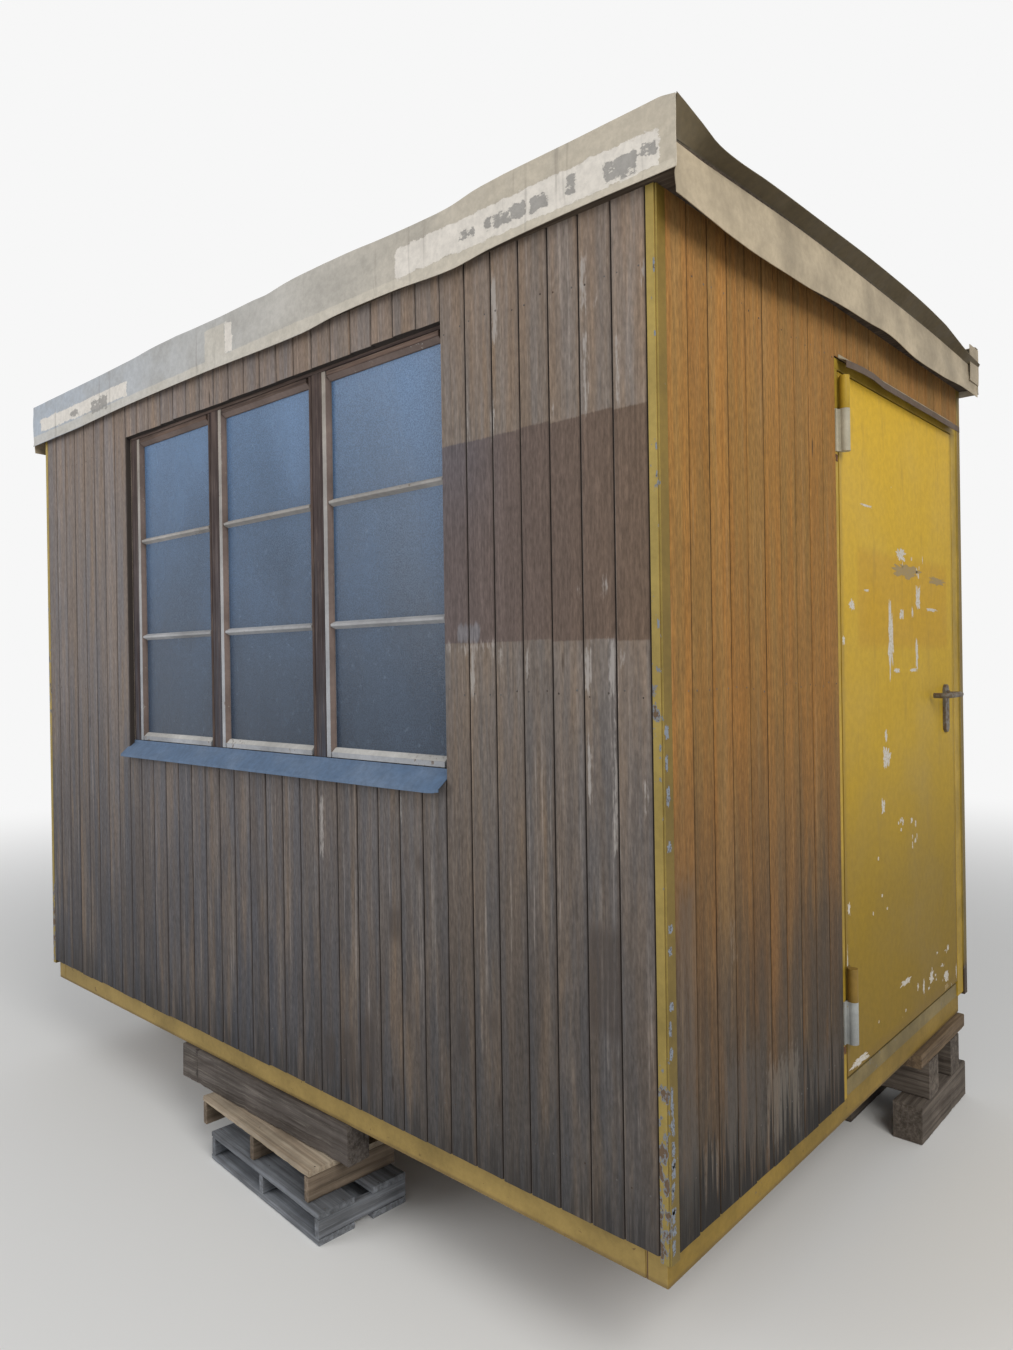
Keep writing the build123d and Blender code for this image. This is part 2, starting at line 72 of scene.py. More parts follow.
X, Y, Z = Vector((1, 0, 0)), Vector((0, 1, 0)), Vector((0, 0, 1))
rail_low, rail_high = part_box("base_rail_right")
CORNER = Vector((rail_high.x, rail_low.y, rail_low.z))
RAIL_TOP = rail_high.z
WALL_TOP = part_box("corner_posts")[1].z
WINDOW_LOW, WINDOW_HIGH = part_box("window_frame_rails")
LEAF_LOW, LEAF_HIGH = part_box("door_leaf")
CLADDING = WINDOW_LOW.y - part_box("front_wall_left")[0].y


def metres(*rows):
    """Rows of whole millimetres, in metres."""
    return [[value / 1000 for value in row] for row in rows]


# Boards, with their grooves as (width, depth)
BOARD_PITCH = 0.088
WIDE_GROOVE = (0.0042, 0.0040)
NARROW_GROOVE = (0.0030, 0.0035)
FLAT_GROOVE = (0.0030, 0.0028)
FINE_STEP = 0.012
COARSE_STEP = 0.08
NAIL_LEVELS = (0.20, 1.235, 2.13)
NAIL_INSET = 0.016
NAIL_RADIUS = 0.0030
LINING_WIDTH = 0.61
JOINT_DEPTH = 0.005

# The rectangle where something once covered the front wall
PATCH_LEFT = -0.616
PATCH_BOTTOM = 1.353
PATCH_TOP = 1.843

# Marks on the front wall as (x0, x1, z0, z1): bleached, stained and blue-grey
FRONT_PALE = metres(
    (-442, -423, 2061, 2221), (-447, -431, 1842, 1928), (-261, -244, 2125, 2154), (-259, -247, 1950, 2069),
    (-264, -250, 1843, 1891), (-173, -159, 2068, 2183), (-171, -157, 1966, 2017), (-172, -156, 1844, 1966),
    (-142, -129, 2056, 2095), (-84, -73, 1849, 1995), (-528, -516, 1848, 1925), (-52, -46, 1884, 1926),
    (-18, -6, 2088, 2136), (-201, -185, 1449, 1483), (-129, -111, 1455, 1485), (-92, -83, 1376, 1395),
    (-181, -157, 1236, 1345), (-114, -94, 1226, 1347), (-87, -65, 1284, 1346), (-437, -418, 1303, 1352),
    (-351, -335, 1246, 1350), (-524, -509, 1228, 1346), (-610, -445, 1338, 1352), (-176, -162, 998, 1130),
    (-105, -94, 894, 1200), (-29, -14, 976, 1069), (-794, -784, 886, 982), (-1139, -1121, 753, 932),
)
FRONT_DARK = metres(
    (-482, -452, 417, 473), (-594, -557, 312, 440), (-1136, -1076, 118, 267), (-1058, -994, 112, 287),
    (-971, -905, 139, 353), (-843, -796, 573, 663), (-737, -707, 772, 819), (-180, -90, 491, 738),
)
FRONT_BLUE = metres((-572, -490, 1352, 1405))

# Marks on the end wall as (y0, y1, z0, z1)
END_PALE = metres(
    (409, 602, 85, 340), (118, 184, 122, 249), (251, 271, 614, 717), (732, 746, 376, 422),
    (38, 55, 484, 498),
)
END_DARK = metres(
    (0, 110, 0, 240), (110, 230, 0, 150), (230, 360, 0, 90), (360, 420, 0, 130), (660, 800, 0, 170),
)
END_BLUE = metres((20, 99, 99, 852), (604, 853, 110, 298), (209, 409, 130, 429))

# Marks on the door as (y, z, width, height), from the middle of each
DOOR_WHITE = metres(
    (1397, 1631, 109, 47), (1557, 1498, 50, 96), (1403, 1441, 46, 35), (1502, 1452, 19, 39),
    (1698, 1465, 138, 14), (1302, 1360, 60, 264), (1351, 1263, 62, 16), (1539, 1316, 29, 122),
    (1508, 1262, 87, 13), (1111, 1754, 102, 9), (1106, 1503, 46, 9), (994, 1457, 51, 37),
    (1247, 1064, 25, 43), (1253, 998, 76, 70), (1217, 851, 33, 55), (1392, 271, 109, 22),
    (1504, 225, 19, 29), (1562, 209, 20, 55), (1639, 219, 51, 44), (1804, 181, 45, 41), (1821, 277, 22, 25),
    (1004, 150, 163, 30), (930, 1354, 19, 30), (940, 597, 21, 42), (925, 428, 8, 150), (1912, 170, 12, 57),
    (1170, 701, 12, 14), (1197, 584, 12, 12), (1123, 546, 10, 14), (1237, 537, 14, 10), (1388, 182, 12, 12),
    (1156, 216, 10, 12),
)
DOOR_CLUSTERS = metres((1361, 780, 54, 47), (1480, 736, 95, 109), (1520, 1600, 240, 60))
DOOR_DULL = metres((1440, 1580, 330, 50), (1760, 1566, 200, 30), (1802, 136, 44, 24))
# A soft rectangle of painted shade on the door, as (y, z, width, height)
DOOR_SHADED = (1.451, 1.479, 0.822, 0.285)

# Chips on the near corner post, as (z0, z1) on its side strip and on its front strip
POST_SIDE_CHIPS = metres(
    (1142, 1174), (1072, 1114), (1001, 1050), (907, 935), (743, 764), (697, 718), (584, 605), (532, 568),
    (483, 515), (365, 432),
)
POST_FRONT_CHIPS = metres(
    (1369, 1391), (1117, 1135), (2096, 2130), (1967, 1980), (1735, 1752), (1678, 1695),
)
LOW_POST_CHIPS = (0.330, 0.305, 0.282, 0.258, 0.236, 0.212, 0.190, 0.166, 0.144, 0.122, 0.100, 0.082)

# Edges of the front fascia as (x, z), and its coats as (x0, x1, z0, z1)
FASCIA_TOP = metres(
    (-2802, 2428), (-2524, 2427), (-2209, 2430), (-2053, 2437), (-1918, 2440), (-1739, 2430), (-1592, 2425),
    (-1410, 2426), (-1333, 2422), (-1242, 2434), (-1163, 2437), (-1023, 2435), (-893, 2428), (-760, 2417),
    (-657, 2414), (-550, 2415), (-466, 2432), (-368, 2439), (-313, 2447), (-146, 2448), (-9, 2444),
    (34, 2442), (82, 2427),
)
FASCIA_LOW = metres(
    (-2660, 2260), (-2250, 2268), (-1700, 2268), (-1170, 2261), (-1000, 2271), (-760, 2271), (-550, 2263),
    (-420, 2273), (-170, 2280), (30, 2280),
)
FASCIA_WHITE = metres((-750, 44, 2299, 2374), (-3000, -2231, 2306, 2358), (-1567, -1525, 2300, 2395))
FASCIA_BARE = metres(
    (-522, -462, 2318, 2348), (-439, -410, 2317, 2350), (-410, -305, 2312, 2352), (-300, -242, 2311, 2351),
    (-197, -165, 2315, 2362), (-96, -7, 2303, 2351), (-2, 41, 2321, 2355), (-2528, -2387, 2290, 2345),
    (-2720, -2640, 2312, 2340),
)
FASCIA_LIGHT = metres((-1687, -1567, 2269, 2398), (-3100, 80, 2262, 2300))

# Edges of the end's verge strip and of the roof sheet's flange as (y, z)
VERGE_LOW = metres(
    (-30, 2232), (130, 2225), (310, 2218), (520, 2223), (750, 2236), (930, 2243), (1130, 2251),
    (1360, 2236), (1610, 2240), (1840, 2250),
)
VERGE_TOP = metres((70, 2335), (250, 2343), (520, 2354), (840, 2359), (1480, 2358), (1880, 2349))
FLANGE_EDGE = metres(
    (-40, 2430), (10, 2392), (60, 2366), (150, 2361), (310, 2371), (600, 2382), (940, 2393), (1380, 2393),
    (1850, 2367),
)

# Corner posts: how far their faces stand out from the base frame, and how far out the notch along their
# arris begins
POST_PROUD = 0.020
POST_NOTCH = 0.016

# Folded sheet, fascia and roof
SHEET = 0.002
FASCIA_CAD_TOP = 2.430
FASCIA_CAD_LOW = 2.276
FASCIA_TOP_SHIFT = 0.005
FASCIA_WAVE = 0.6
FASCIA_LIP = 0.030
FASCIA_KICK = 0.004
FASCIA_CREASE = 0.012
ROOF_CROWN = 0.026
ROOF_LAPS = (-0.8, 0.0, 0.8)
LAP = 0.0010
FLANGE_DROP = 0.046
FLANGE_RIM = 0.0235
RETURN_FOOT = 2.290
RETURN_HEIGHT = 0.128
RETURN_CREASE = 0.040
RETURN_LENGTH = 0.103
RETURN_FROM_BACK = 0.110

# Window
SASH_STILE = 0.024
SASH_RAIL = 0.028
SASH_DEPTH = 0.040
PUTTY = 0.013
NARROW_PUTTY = 0.006
GLASS_SETBACK = 0.018
BAR_LEVELS = (1.421, 1.774)
BAR_HEIGHT = 0.022

# Supports
TIMBER_INSET = 0.0001
PALLET_SKEW = math.radians(-4.4)
PALLET_BOARD = 0.018
PALLET_STRINGER = 0.022
PALLET_DEPTH = 0.300
PALLET_BOARD_WIDTH = 0.120
PALLET_ROUGH = 0.0012

# Camera, fitted to the straight edges in the photograph
CAMERA_FROM_CORNER = Vector((1.03606, -1.62717, 1.30407))
CAMERA_YAW = math.radians(41.974)
CAMERA_PITCH = math.radians(-0.096)
CAMERA_ROLL = math.radians(-0.861)
FOCAL_PIXELS = 919.85
PHOTO_WIDTH, PHOTO_HEIGHT = 1013, 1350
PHOTO_CENTRE = (505.44, 664.92)
SENSOR = 36

# Stage and light, with each lamp as (name, place, size, power, colour)
BACKGROUND = (0.93, 0.93, 0.93, 1)
FLOOR_REACH = 60
FLOOR_FADE = (2.6, 9.0)
SKY_GLOW = 0.50
LAMPS = (
    ("key", (5.5, -2.5, 4.6), 3.0, 205, (1.0, 0.98, 0.94)),
    ("fill", (-3.0, -6.5, 3.5), 4.0, 165, (1.0, 1.0, 1.0)),
)


def extent(box, direction):
    """The lowest and highest place of a box along an axis, either way round."""
    return sorted(corner.dot(direction) for corner in box)


def share_of(value, low, high):
    """How far a value has gone from low to high, from 0 to 1."""
    return min(max((value - low) / (high - low), 0), 1)


def on_line(points, place):
    """The height of a measured edge at a place along it, on a smooth curve through its points."""
    if place <= points[0][0]:
        return points[0][1]
    if place >= points[-1][0]:
        return points[-1][1]
    k = next(k for k in range(1, len(points)) if place <= points[k][0])
    (a, low), (b, high) = points[k - 1], points[k]
    before, after = points[max(k - 2, 0)], points[min(k + 1, len(points) - 1)]
    leave = (high - before[1]) / (b - before[0]) * (b - a)
    arrive = (after[1] - low) / (after[0] - a) * (b - a)
    t = (place - a) / (b - a)
    blend = t * t * (3 - 2 * t)
    return low + (high - low) * blend + leave * t * (1 - t) ** 2 - arrive * t * t * (1 - t)


# Meshes

class Shape:
    """Closed pieces gathered into one mesh. Each point has a place in the grain of its piece, and marks
    for the material: how far across the piece it lies from -1 to 1, the piece's tone, and its depth."""

    def __init__(self, seed):
        self.random = random.Random(seed)
        self.points, self.faces, self.grain, self.marks = [], [], [], []

    def put(self, point, grain, mark):
        self.points.append(point)
        self.grain.append(grain)
        self.marks.append(mark)

    def join(self, first, count, rings):
        """Joins rings of count points, laid down from first on, and closes both ends."""
        last = first + (rings - 1) * count
        for low in range(first, last, count):
            for j in range(count):
                a, b = low + j, low + (j + 1) % count
                self.faces.append((a, b, b + count, a + count))
        for start in (first, last):
            self.faces.append(tuple(range(start, start + count)))

    def prism(self, section, origin, across, out, along, length, steps=1, bend=None):
        """Draws a section of (across, out) points along a line. bend moves a point of a step."""
        first = len(self.points)
        shift = Vector([self.random.uniform(-9, 9) for _ in range(3)])
        tone = self.random.random()
        left = min(a for a, o in section)
        width = max(a for a, o in section) - left
        top = max(o for a, o in section)
        for i in range(steps + 1):
            t = i / steps
            for a, o in section:
                side, lift, slip = bend(t, a, o) if bend else (0, 0, 0)
                point = origin + across * (a + side) + out * (o + lift) + along * (length * t + slip)
                grain = Vector((length * t, a, o)) + shift
                self.put(point, grain, (2 * (a - left) / width - 1, tone, top - o))
        self.join(first, len(section), steps + 1)

    def loops(self, rings):
        """Joins closed rings of equal size, each a list of points, into one closed piece."""
        first = len(self.points)
        tone = self.random.random()
        for ring in rings:
            for point in ring:
                self.put(point, point, (0, tone, 0))
        self.join(first, len(rings[0]), len(rings))

    def dome(self, centre, out, radius, height, sides=8, sunk=0.002):
        """A low round head, such as a nail's."""
        across = out.orthogonal().normalized()
        up = out.cross(across)
        spokes = [across * math.cos(math.tau * k / sides) + up * math.sin(math.tau * k / sides)
                  for k in range(sides)]
        levels = ((radius, -sunk), (radius, 0.3 * height), (0.6 * radius, height))
        self.loops([[centre + spoke * r + out * level for spoke in spokes] for r, level in levels])

    def flake(self, centre, right, up, width, height, lift=0.0003, ragged=0.5, points=30):
        """A thin scab of paint whose ragged outline fits into width by height."""
        out = right.cross(up)
        seed = self.random.uniform(0, 90)
        spokes = []
        for k in range(points):
            c, s = math.cos(math.tau * k / points), math.sin(math.tau * k / points)
            wobble = noise.noise((seed, 2.2 * c, 2.2 * s)) + 0.8 * noise.noise((seed + 5, 8 * c, 8 * s))
            radius = max(0.3, (1 + ragged * wobble) / max(abs(c), abs(s)) ** 0.6)
            spokes.append((c * radius, s * radius))
        wide = max(abs(c) for c, s in spokes)
        tall = max(abs(s) for c, s in spokes)
        outline = [right * (0.5 * width * c / wide) + up * (0.5 * height * s / tall) for c, s in spokes]
        levels = ((1.0, -0.0006), (1.0, 0.5 * lift), (0.9, lift))
        self.loops([[centre + spoke * size + out * level for spoke in outline] for size, level in levels])


def piece(name, shape, material, body="cabin", smooth=None, wear=None):
    """Makes the mesh, with outward normals, and lets it ride on its body. wear gives each point's marks."""
    mesh = bpy.data.meshes.new(name)
    mesh.from_pydata(shape.points, [], shape.faces)
    layers = [("grain", shape.grain), ("marks", shape.marks)]
    if wear:
        layers.append(("wear", [wear(point) for point in shape.points]))
    for key, values in layers:
        attribute = mesh.attributes.new(key, "FLOAT_VECTOR", "POINT")
        attribute.data.foreach_set("vector", [c for value in values for c in value])
    work = bmesh.new()
    work.from_mesh(mesh)
    bmesh.ops.recalc_face_normals(work, faces=work.faces)
    work.to_mesh(mesh)
    work.free()
    if smooth:
        mesh.shade_smooth()
        mesh.set_sharp_from_angle(angle=math.radians(smooth))
    mesh.materials.append(material)
    made = bpy.data.objects.new(name, mesh)
    bpy.context.scene.collection.objects.link(made)
    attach(made, body)
    return made


def wear_from(across, soft_across, soft_up, *kinds):
    """How strongly each kind of mark covers a point: one half at a rectangle's edge, and one inside."""

    def wear(point):
        place = point - CORNER
        a, z = place.dot(across), place.z
        found = []
        for rows in kinds:
            cover = 0
            for a0, a1, z0, z1 in rows:
                outside = max(max(a0 - a, a - a1) / soft_across, max(z0 - z, z - z1) / soft_up)
                cover = max(cover, 0.5 - outside)
            found.append(min(cover, 1))
        return found + [0] * (3 - len(found))

    return wear


def finish_cad(name, material, bevel=0.0):
    """Gives a CAD node its material, and small rounds on its edges."""
    node = frame["nodes"][name]
    node.data.materials.clear()
    node.data.materials.append(material)
    if bevel:
        node.modifiers.new("weld", "WELD").merge_threshold = 0.00002
        rounds = node.modifiers.new("rounds", "BEVEL")
        rounds.width = bevel
        rounds.segments = 2
        rounds.limit_method = "ANGLE"
        rounds.angle_limit = math.radians(40)
        rounds.harden_normals = False


# Materials

class Value:
    """A number that a node gives out, for sums in a material."""

    def __init__(self, paint, socket):
        self.paint, self.socket = paint, socket

    def __add__(self, other):
        return self.paint.maths("ADD", self, other)

    def __sub__(self, other):
        return self.paint.maths("SUBTRACT", self, other)

    def __mul__(self, other):
        return self.paint.maths("MULTIPLY", self, other)

    def most(self, other):
        return self.paint.maths("MAXIMUM", self, other)

    def absolute(self):
        return self.paint.maths("ABSOLUTE", self, 0.0)

    def rise(self, low, high, start=0.0, end=1.0, kind="SMOOTHSTEP"):
        """Goes smoothly from start to end as the value goes from low to high, which may be the lesser."""
        inputs = {"Value": self, "From Min": low, "From Max": high, "To Min": start, "To Max": end}
        node = self.paint.add("ShaderNodeMapRange", inputs, interpolation_type=kind)
        return Value(self.paint, node.outputs[0])

    def line(self, low, high, start=0.0, end=1.0):
        return self.rise(low, high, start, end, "LINEAR")

    def band(self, low, high, soft):
        """One between low and high, nought outside."""
        return self.rise(low - soft, low + soft) * self.rise(high + soft, high - soft)


class Paint:
    """A material under way: its nodes are added by short calls, and shown is its colour so far."""

    def __init__(self, name, **constants):
        self.material = bpy.data.materials.new(name)
        self.material.use_nodes = True
        self.tree = self.material.node_tree
        self.shader = self.tree.nodes["Principled BSDF"]
        self.set(**constants)
        self.coordinates = self.add("ShaderNodeTexCoord").outputs
        self.place = self.coordinates["Object"]
        self.x, self.y, self.z = [value - start for value, start in zip(self.split(self.place), CORNER)]

    def set(self, **values):
        for key, value in values.items():
            self.feed(self.shader.inputs[key.replace("_", " ").title().replace("Ior", "IOR")], value)

    def done(self, **values):
        self.set(base_color=self.shown, **values)
        return self.material

    def feed(self, socket, value):
        value = value.socket if isinstance(value, Value) else value
        if isinstance(value, bpy.types.NodeSocket):
            self.tree.links.new(value, socket)
        elif socket.type == "RGBA" and len(value) == 3:
            socket.default_value = (*value, 1)
        else:
            socket.default_value = value

    def add(self, kind, inputs=None, **settings):
        node = self.tree.nodes.new(kind)
        for key, value in settings.items():
            setattr(node, key, value)
        for key, value in (inputs or {}).items():
            self.feed(node.inputs[key], value)
        return node

    def maths(self, operation, a, b):
        return Value(self, self.add("ShaderNodeMath", {0: a, 1: b}, operation=operation).outputs[0])

    def split(self, vector):
        return [Value(self, part) for part in self.add("ShaderNodeSeparateXYZ", {0: vector}).outputs]

    def attribute(self, name):
        return self.add("ShaderNodeAttribute", attribute_name=name).outputs["Vector"]

    def marks(self, name):
        return self.split(self.attribute(name))

    def turned(self, order):
        """The place with its axes in another order, so that the grain runs along the first."""
        axes = dict(zip("xyz", self.split(self.place)))
        return self.add("ShaderNodeCombineXYZ", {i: axes[axis] for i, axis in enumerate(order)}).outputs[0]

    def stretch(self, vector, scales):
        return self.add("ShaderNodeVectorMath", {0: vector, 1: scales}, operation="MULTIPLY").outputs[0]

    def noise(self, scale, detail=3.0, rough=0.55, warp=0.0, at=None):
        """Noise from 0 to 1 over the place or another vector. scale is one number, or one for each axis."""
        at = at or self.place
        if isinstance(scale, tuple):
            at, scale = self.stretch(at, scale), 1.0
        inputs = {"Vector": at, "Scale": scale, "Detail": detail, "Roughness": rough, "Distortion": warp}
        return Value(self, self.add("ShaderNodeTexNoise", inputs).outputs[0])

    def cells(self, scales, at):
        """How far off the middle of the nearest cell is, and a random number for that cell."""
        found = self.add("ShaderNodeTexVoronoi", {"Vector": self.stretch(at, scales), "Scale": 1.0}).outputs
        return Value(self, found["Distance"]), self.split(found["Color"])[0]

    def up(self, low, high):
        """From 0 to 1 between two heights in the frame, not from CORNER."""
        return self.z.line(low - CORNER.z, high - CORNER.z)

    def on_end(self):
        """One on faces that look towards an end of the cabin, nought on those of its long sides."""
        return self.split(self.coordinates["Normal"])[0].absolute().rise(0.4, 0.6)

    def mix(self, factor, a, b, mode="MIX"):
        node = self.add("ShaderNodeMix", data_type="RGBA", blend_type=mode)
        for socket, value in zip((node.inputs[0], node.inputs[6], node.inputs[7]), (factor, a, b)):
            self.feed(socket, value)
        return node.outputs[2]

    def cover(self, share, colour):
        self.shown = self.mix(share, self.shown, colour)

    def shade(self, factor):
        """Makes the colour lighter or darker by a factor, or tints it by a colour."""
        self.shown = self.mix(1.0, self.shown, factor, "MULTIPLY")

    def ramp(self, value, *stops):
        """Colours along a value: stops of (place, colour)."""
        node = self.add("ShaderNodeValToRGB", {0: value})
        elements = node.color_ramp.elements
        for element, (place, colour) in zip(elements, (stops[0], stops[-1])):
            element.position = place
            element.color = (*colour, 1)
        for place, colour in stops[1:-1]:
            elements.new(place).color = (*colour, 1)
        return node.outputs[0]

    def bump(self, height, distance, below=None):
        inputs = {"Height": height, "Distance": distance, "Strength": 1.0}
        if below:
            inputs["Normal"] = below
        return self.add("ShaderNodeBump", inputs).outputs[0]


def wood_grain(paint, at):
    """A piece of wood's fibres, streaks and growth rings, each from 0 to 1, and its knots."""
    fibre = paint.noise((8, 190, 190), 5, 0.72, at=at)
    streak = paint.noise((1.7, 65, 65), 4, 0.66, at=at)
    swirl = paint.noise((0.55, 9, 9), 1.5, warp=0.5, at=at)
    rings = paint.maths("SINE", swirl * 60, 0.0).rise(-0.9, 0.9)
    distance, chance = paint.cells((2.2, 11, 2.0), at)
    return fibre, streak, rings, distance.rise(0.075, 0.03) * chance.rise(0.60, 0.62)


class Boards:
    """What tells one kind of outdoor board from another. Most kinds share these."""

    stain, bleach, edges, damp = 0.5, 0.7, 0.5, 0.0
    cold, patch = False, False
    cool, warm = (0.94, 0.99, 1.05), (1.08, 1.0, 0.90)
    # groove is the colour of the painted shade in the grooves between the boards.
    bleached, groove = (0.36, 0.335, 0.315), (0.042, 0.034, 0.030)

    def __init__(self, **own):
        vars(self).update(own)


def weathered_boards(name, kind):
    """Old outdoor boards: greyer towards the foot, streaked along the grain, and dark in their grooves and
    beside them as painted shade.
    """
    paint = Paint(name, metallic=0.0, specular_ior_level=0.2)
    grain = paint.attribute("grain")
    across, tone, depth = paint.marks("marks")
    pale, dark, blue = paint.marks("wear")
    fibre, streak, rings, knot = wood_grain(paint, grain)
    cloud = paint.noise((1.6, 14, 14), 3, 0.6, at=grain)
    pits = paint.noise((50, 170, 170), 2, at=grain)
    ragged = (fibre - 0.5) * 1.3 + (streak - 0.5) + (pits - 0.5) * 0.9 + (cloud - 0.5) * 0.9
    height = paint.up(RAIL_TOP, WALL_TOP)
    paint.shown = paint.ramp(height + (cloud - 0.5) * 0.22, *kind.colours)
    # Bluer towards the window end: partly greyer weathered wood, partly painted shade from the sky.
    if kind.cold:
        paint.cover(paint.x.line(-0.5, -1.4), paint.mix(1.0, paint.shown, (0.98, 1.04, 1.16), "MULTIPLY"))
    paint.cover(cloud.rise(0.48, 0.70, 0, 0.30), kind.drift)
    paint.shade(tone.line(0, 1, 0.91, 1.09))
    hue = paint.noise((1.4, 26, 26), 3, 0.6, at=grain)
    paint.shade(paint.ramp(hue, (0.38, kind.cool), (0.62, kind.warm)))
    paint.cover(streak.rise(0.58, 0.72, 0, 0.30), kind.pale)
    if kind.patch:
        covered_patch(paint, fibre, streak, blue, tone)
    paint.shade(fibre.line(0.25, 0.75, 0.74, 1.26))
    paint.shade(streak.line(0.25, 0.75, 0.86, 1.14))
    paint.shade(rings.line(0, 1, 0.97, 1.03))
    paint.shade(pits.line(0.3, 0.7, 0.80, 1.20))
    slit = paint.noise((2.4, 330, 40), 2, at=grain)
    slits = slit.rise(0.68, 0.74) * height.line(0.0, 0.6, 1.0, 0.35) * kind.cracks
    paint.cover(slits, kind.dark)
    paint.cover((dark + ragged).rise(0.45, 0.95, 0, kind.stain), kind.dark)
    if not kind.patch:
        paint.cover((blue + ragged).rise(0.35, 1.10, 0, 0.45), (0.092, 0.084, 0.078))
    paint.cover((pale + ragged).rise(0.48, 0.92, 0, kind.bleach), kind.bleached)
    wet = RAIL_TOP - CORNER.z + kind.damp
    low = paint.z - (streak - 0.5) * 0.9 - ragged * 0.08
    paint.cover(low.rise(wet + 0.08, wet - 0.03, 0, kind.foot), (0.020, 0.018, 0.017))
    paint.cover(knot * 0.7, paint.mix(0.6, kind.dark, (0.02, 0.012, 0.008)))
    paint.cover(across.rise(-0.92, -1.0) * streak.rise(0.40, 0.56) * kind.edges, kind.pale)
    # Painted shade: each board's face darkens towards its right edge, and the groove is painted dark where
    # shade falls between the boards.
    paint.cover(across.rise(0.80, 0.86, 0, 0.3), kind.dark)
    paint.cover(depth.rise(0.0012, 0.0032), kind.groove)
    relief = fibre * 0.9 + streak * 0.6 - slits * 0.6
    return paint.done(roughness=fibre.rise(0.2, 0.8, 0.72, 0.92), normal=paint.bump(relief, 0.0010))


def covered_patch(paint, fibre, streak, blue, tone):
    """A rectangle kept dark by what once hung over it, with a painted sheen that makes it bluer at its upper
    left and browner on the right.
    """
    level = paint.z + (fibre - 0.5) * 0.010 + (tone - 0.5) * 0.010
    inside = level.band(PATCH_BOTTOM, PATCH_TOP, 0.0025) * paint.x.rise(PATCH_LEFT, PATCH_LEFT + 0.004)
    # Painted sheen: the stain turns browner to the right and bluer at the upper left.
    stain_and_painted_sheen = paint.mix(paint.x.line(-0.6, 0), (0.112, 0.088, 0.086), (0.130, 0.088, 0.062))
    stain_and_painted_sheen = paint.mix(paint.z.rise(1.55, 1.85) * paint.x.rise(-0.35, -0.6), stain_and_painted_sheen, (0.110, 0.096, 0.104))
    stain_and_painted_sheen = paint.mix((blue + streak - 0.5).rise(0.45, 0.65, 0, 0.6), stain_and_painted_sheen, (0.20, 0.20, 0.22))
    paint.cover(inside * 0.95, stain_and_painted_sheen)


def timber(name, colour, pale, dark, roughness=0.85, order=None, low=None):
    """Plain sawn wood. order turns the place so that the grain runs the right way on a mesh without one, and
    low is the colour towards the foot of the window, where the cooler, darker foot and the warmer top are
    painted shade and painted light."""
    paint = Paint(name, metallic=0.0, specular_ior_level=0.2)
    grain = paint.turned(order) if order else paint.attribute("grain")
    fibre, streak, rings, knot = wood_grain(paint, grain)
    grade = streak.rise(0.35, 0.65)
    paint.shown = paint.mix(grade, dark, colour)
    # Painted shade and light: darker and cooler towards the window's foot, warmer towards its top.
    if low:
        height = paint.up(WINDOW_LOW.z, WINDOW_HIGH.z)
        paint.shown = paint.mix(height, paint.mix(grade, dark, low), paint.shown)
    paint.cover(fibre.rise(0.5, 0.7, 0, 0.5), pale)
    paint.shade(rings.line(0, 1, 0.88, 1.08))
    if not order:
        paint.shade(paint.marks("marks")[1].line(0, 1, 0.84, 1.16))
        dirt = (paint.marks("wear")[0] + streak - 0.5).rise(0.45, 0.6, 0, 0.8)
        paint.cover(dirt, paint.mix(0.7, dark, (0.01, 0.008, 0.007)))
    paint.cover(knot * 0.7, paint.mix(0.7, dark, (0.01, 0.007, 0.005)))
    slit = paint.noise((3.0, 240, 240), 2, at=grain)
    paint.cover(slit.rise(0.68, 0.74, 0, 0.6), paint.mix(0.6, dark, (0, 0, 0)))
    paint.shade(paint.noise(7, 4, 0.6).rise(0.3, 0.7, 0.82, 1.14))
    return paint.done(roughness=roughness, normal=paint.bump((fibre + streak) * 0.6, 0.001))


def worn_paint(name, colour, under, bare, chips=0.5, size=1.0, roughness=0.55, dirt=0.3, extra=None):
    """Paint over an older coat, with dirt in soft blots, and chips through to that coat or to what is
    below. colour may be a function that gives one, and extra one that gives more chips."""
    paint = Paint(name, metallic=0.0, specular_ior_level=0.22)
    speck = paint.noise(60, 4, 0.7)
    paint.shown = colour(paint) if callable(colour) else colour
    paint.shade(paint.noise(5, 4, 0.6).rise(0.25, 0.75, 1 - dirt, 1 + 0.4 * dirt))
    paint.shade(speck.rise(0.3, 0.7, 0.92, 1.07))
    fine = 55 / size
    amount = paint.noise((fine, fine, 0.6 * fine), 5, 0.62)
    amount += paint.noise(3.1, 3, 0.6).rise(0.35, 0.7, -0.08, 0.08)
    if extra:
        amount += extra(paint)
    chip, deep = [amount.rise(level - 0.14 * chips, level + 0.015 - 0.14 * chips) for level in (0.80, 0.86)]
    paint.cover(chip, under)
    paint.cover(deep, bare)
    depth = chip + deep
    return paint.done(roughness=depth.rise(0, 1, roughness, 0.8),
                      normal=paint.bump(speck * 0.12 - depth * 0.5, 0.0005))


def zinc(name, colour, stain, roughness, metallic, coat=None):
    """Dull sheet metal with pale and dark blots."""
    paint = Paint(name, metallic=metallic)
    blot = paint.noise(6, 5, 0.65)
    paint.shown = paint.mix(blot.rise(0.4, 0.7), colour, stain)
    if coat:
        coat(paint)
    for mottle in (paint.noise(70, 4, 0.7), paint.noise((30, 30, 1.5))):
        paint.shade(mottle.rise(0.3, 0.7, 0.90, 1.08))
    return paint.done(roughness=blot.rise(0.3, 0.7, roughness, roughness + 0.25),
                      normal=paint.bump(paint.noise(3, 2), 0.004))


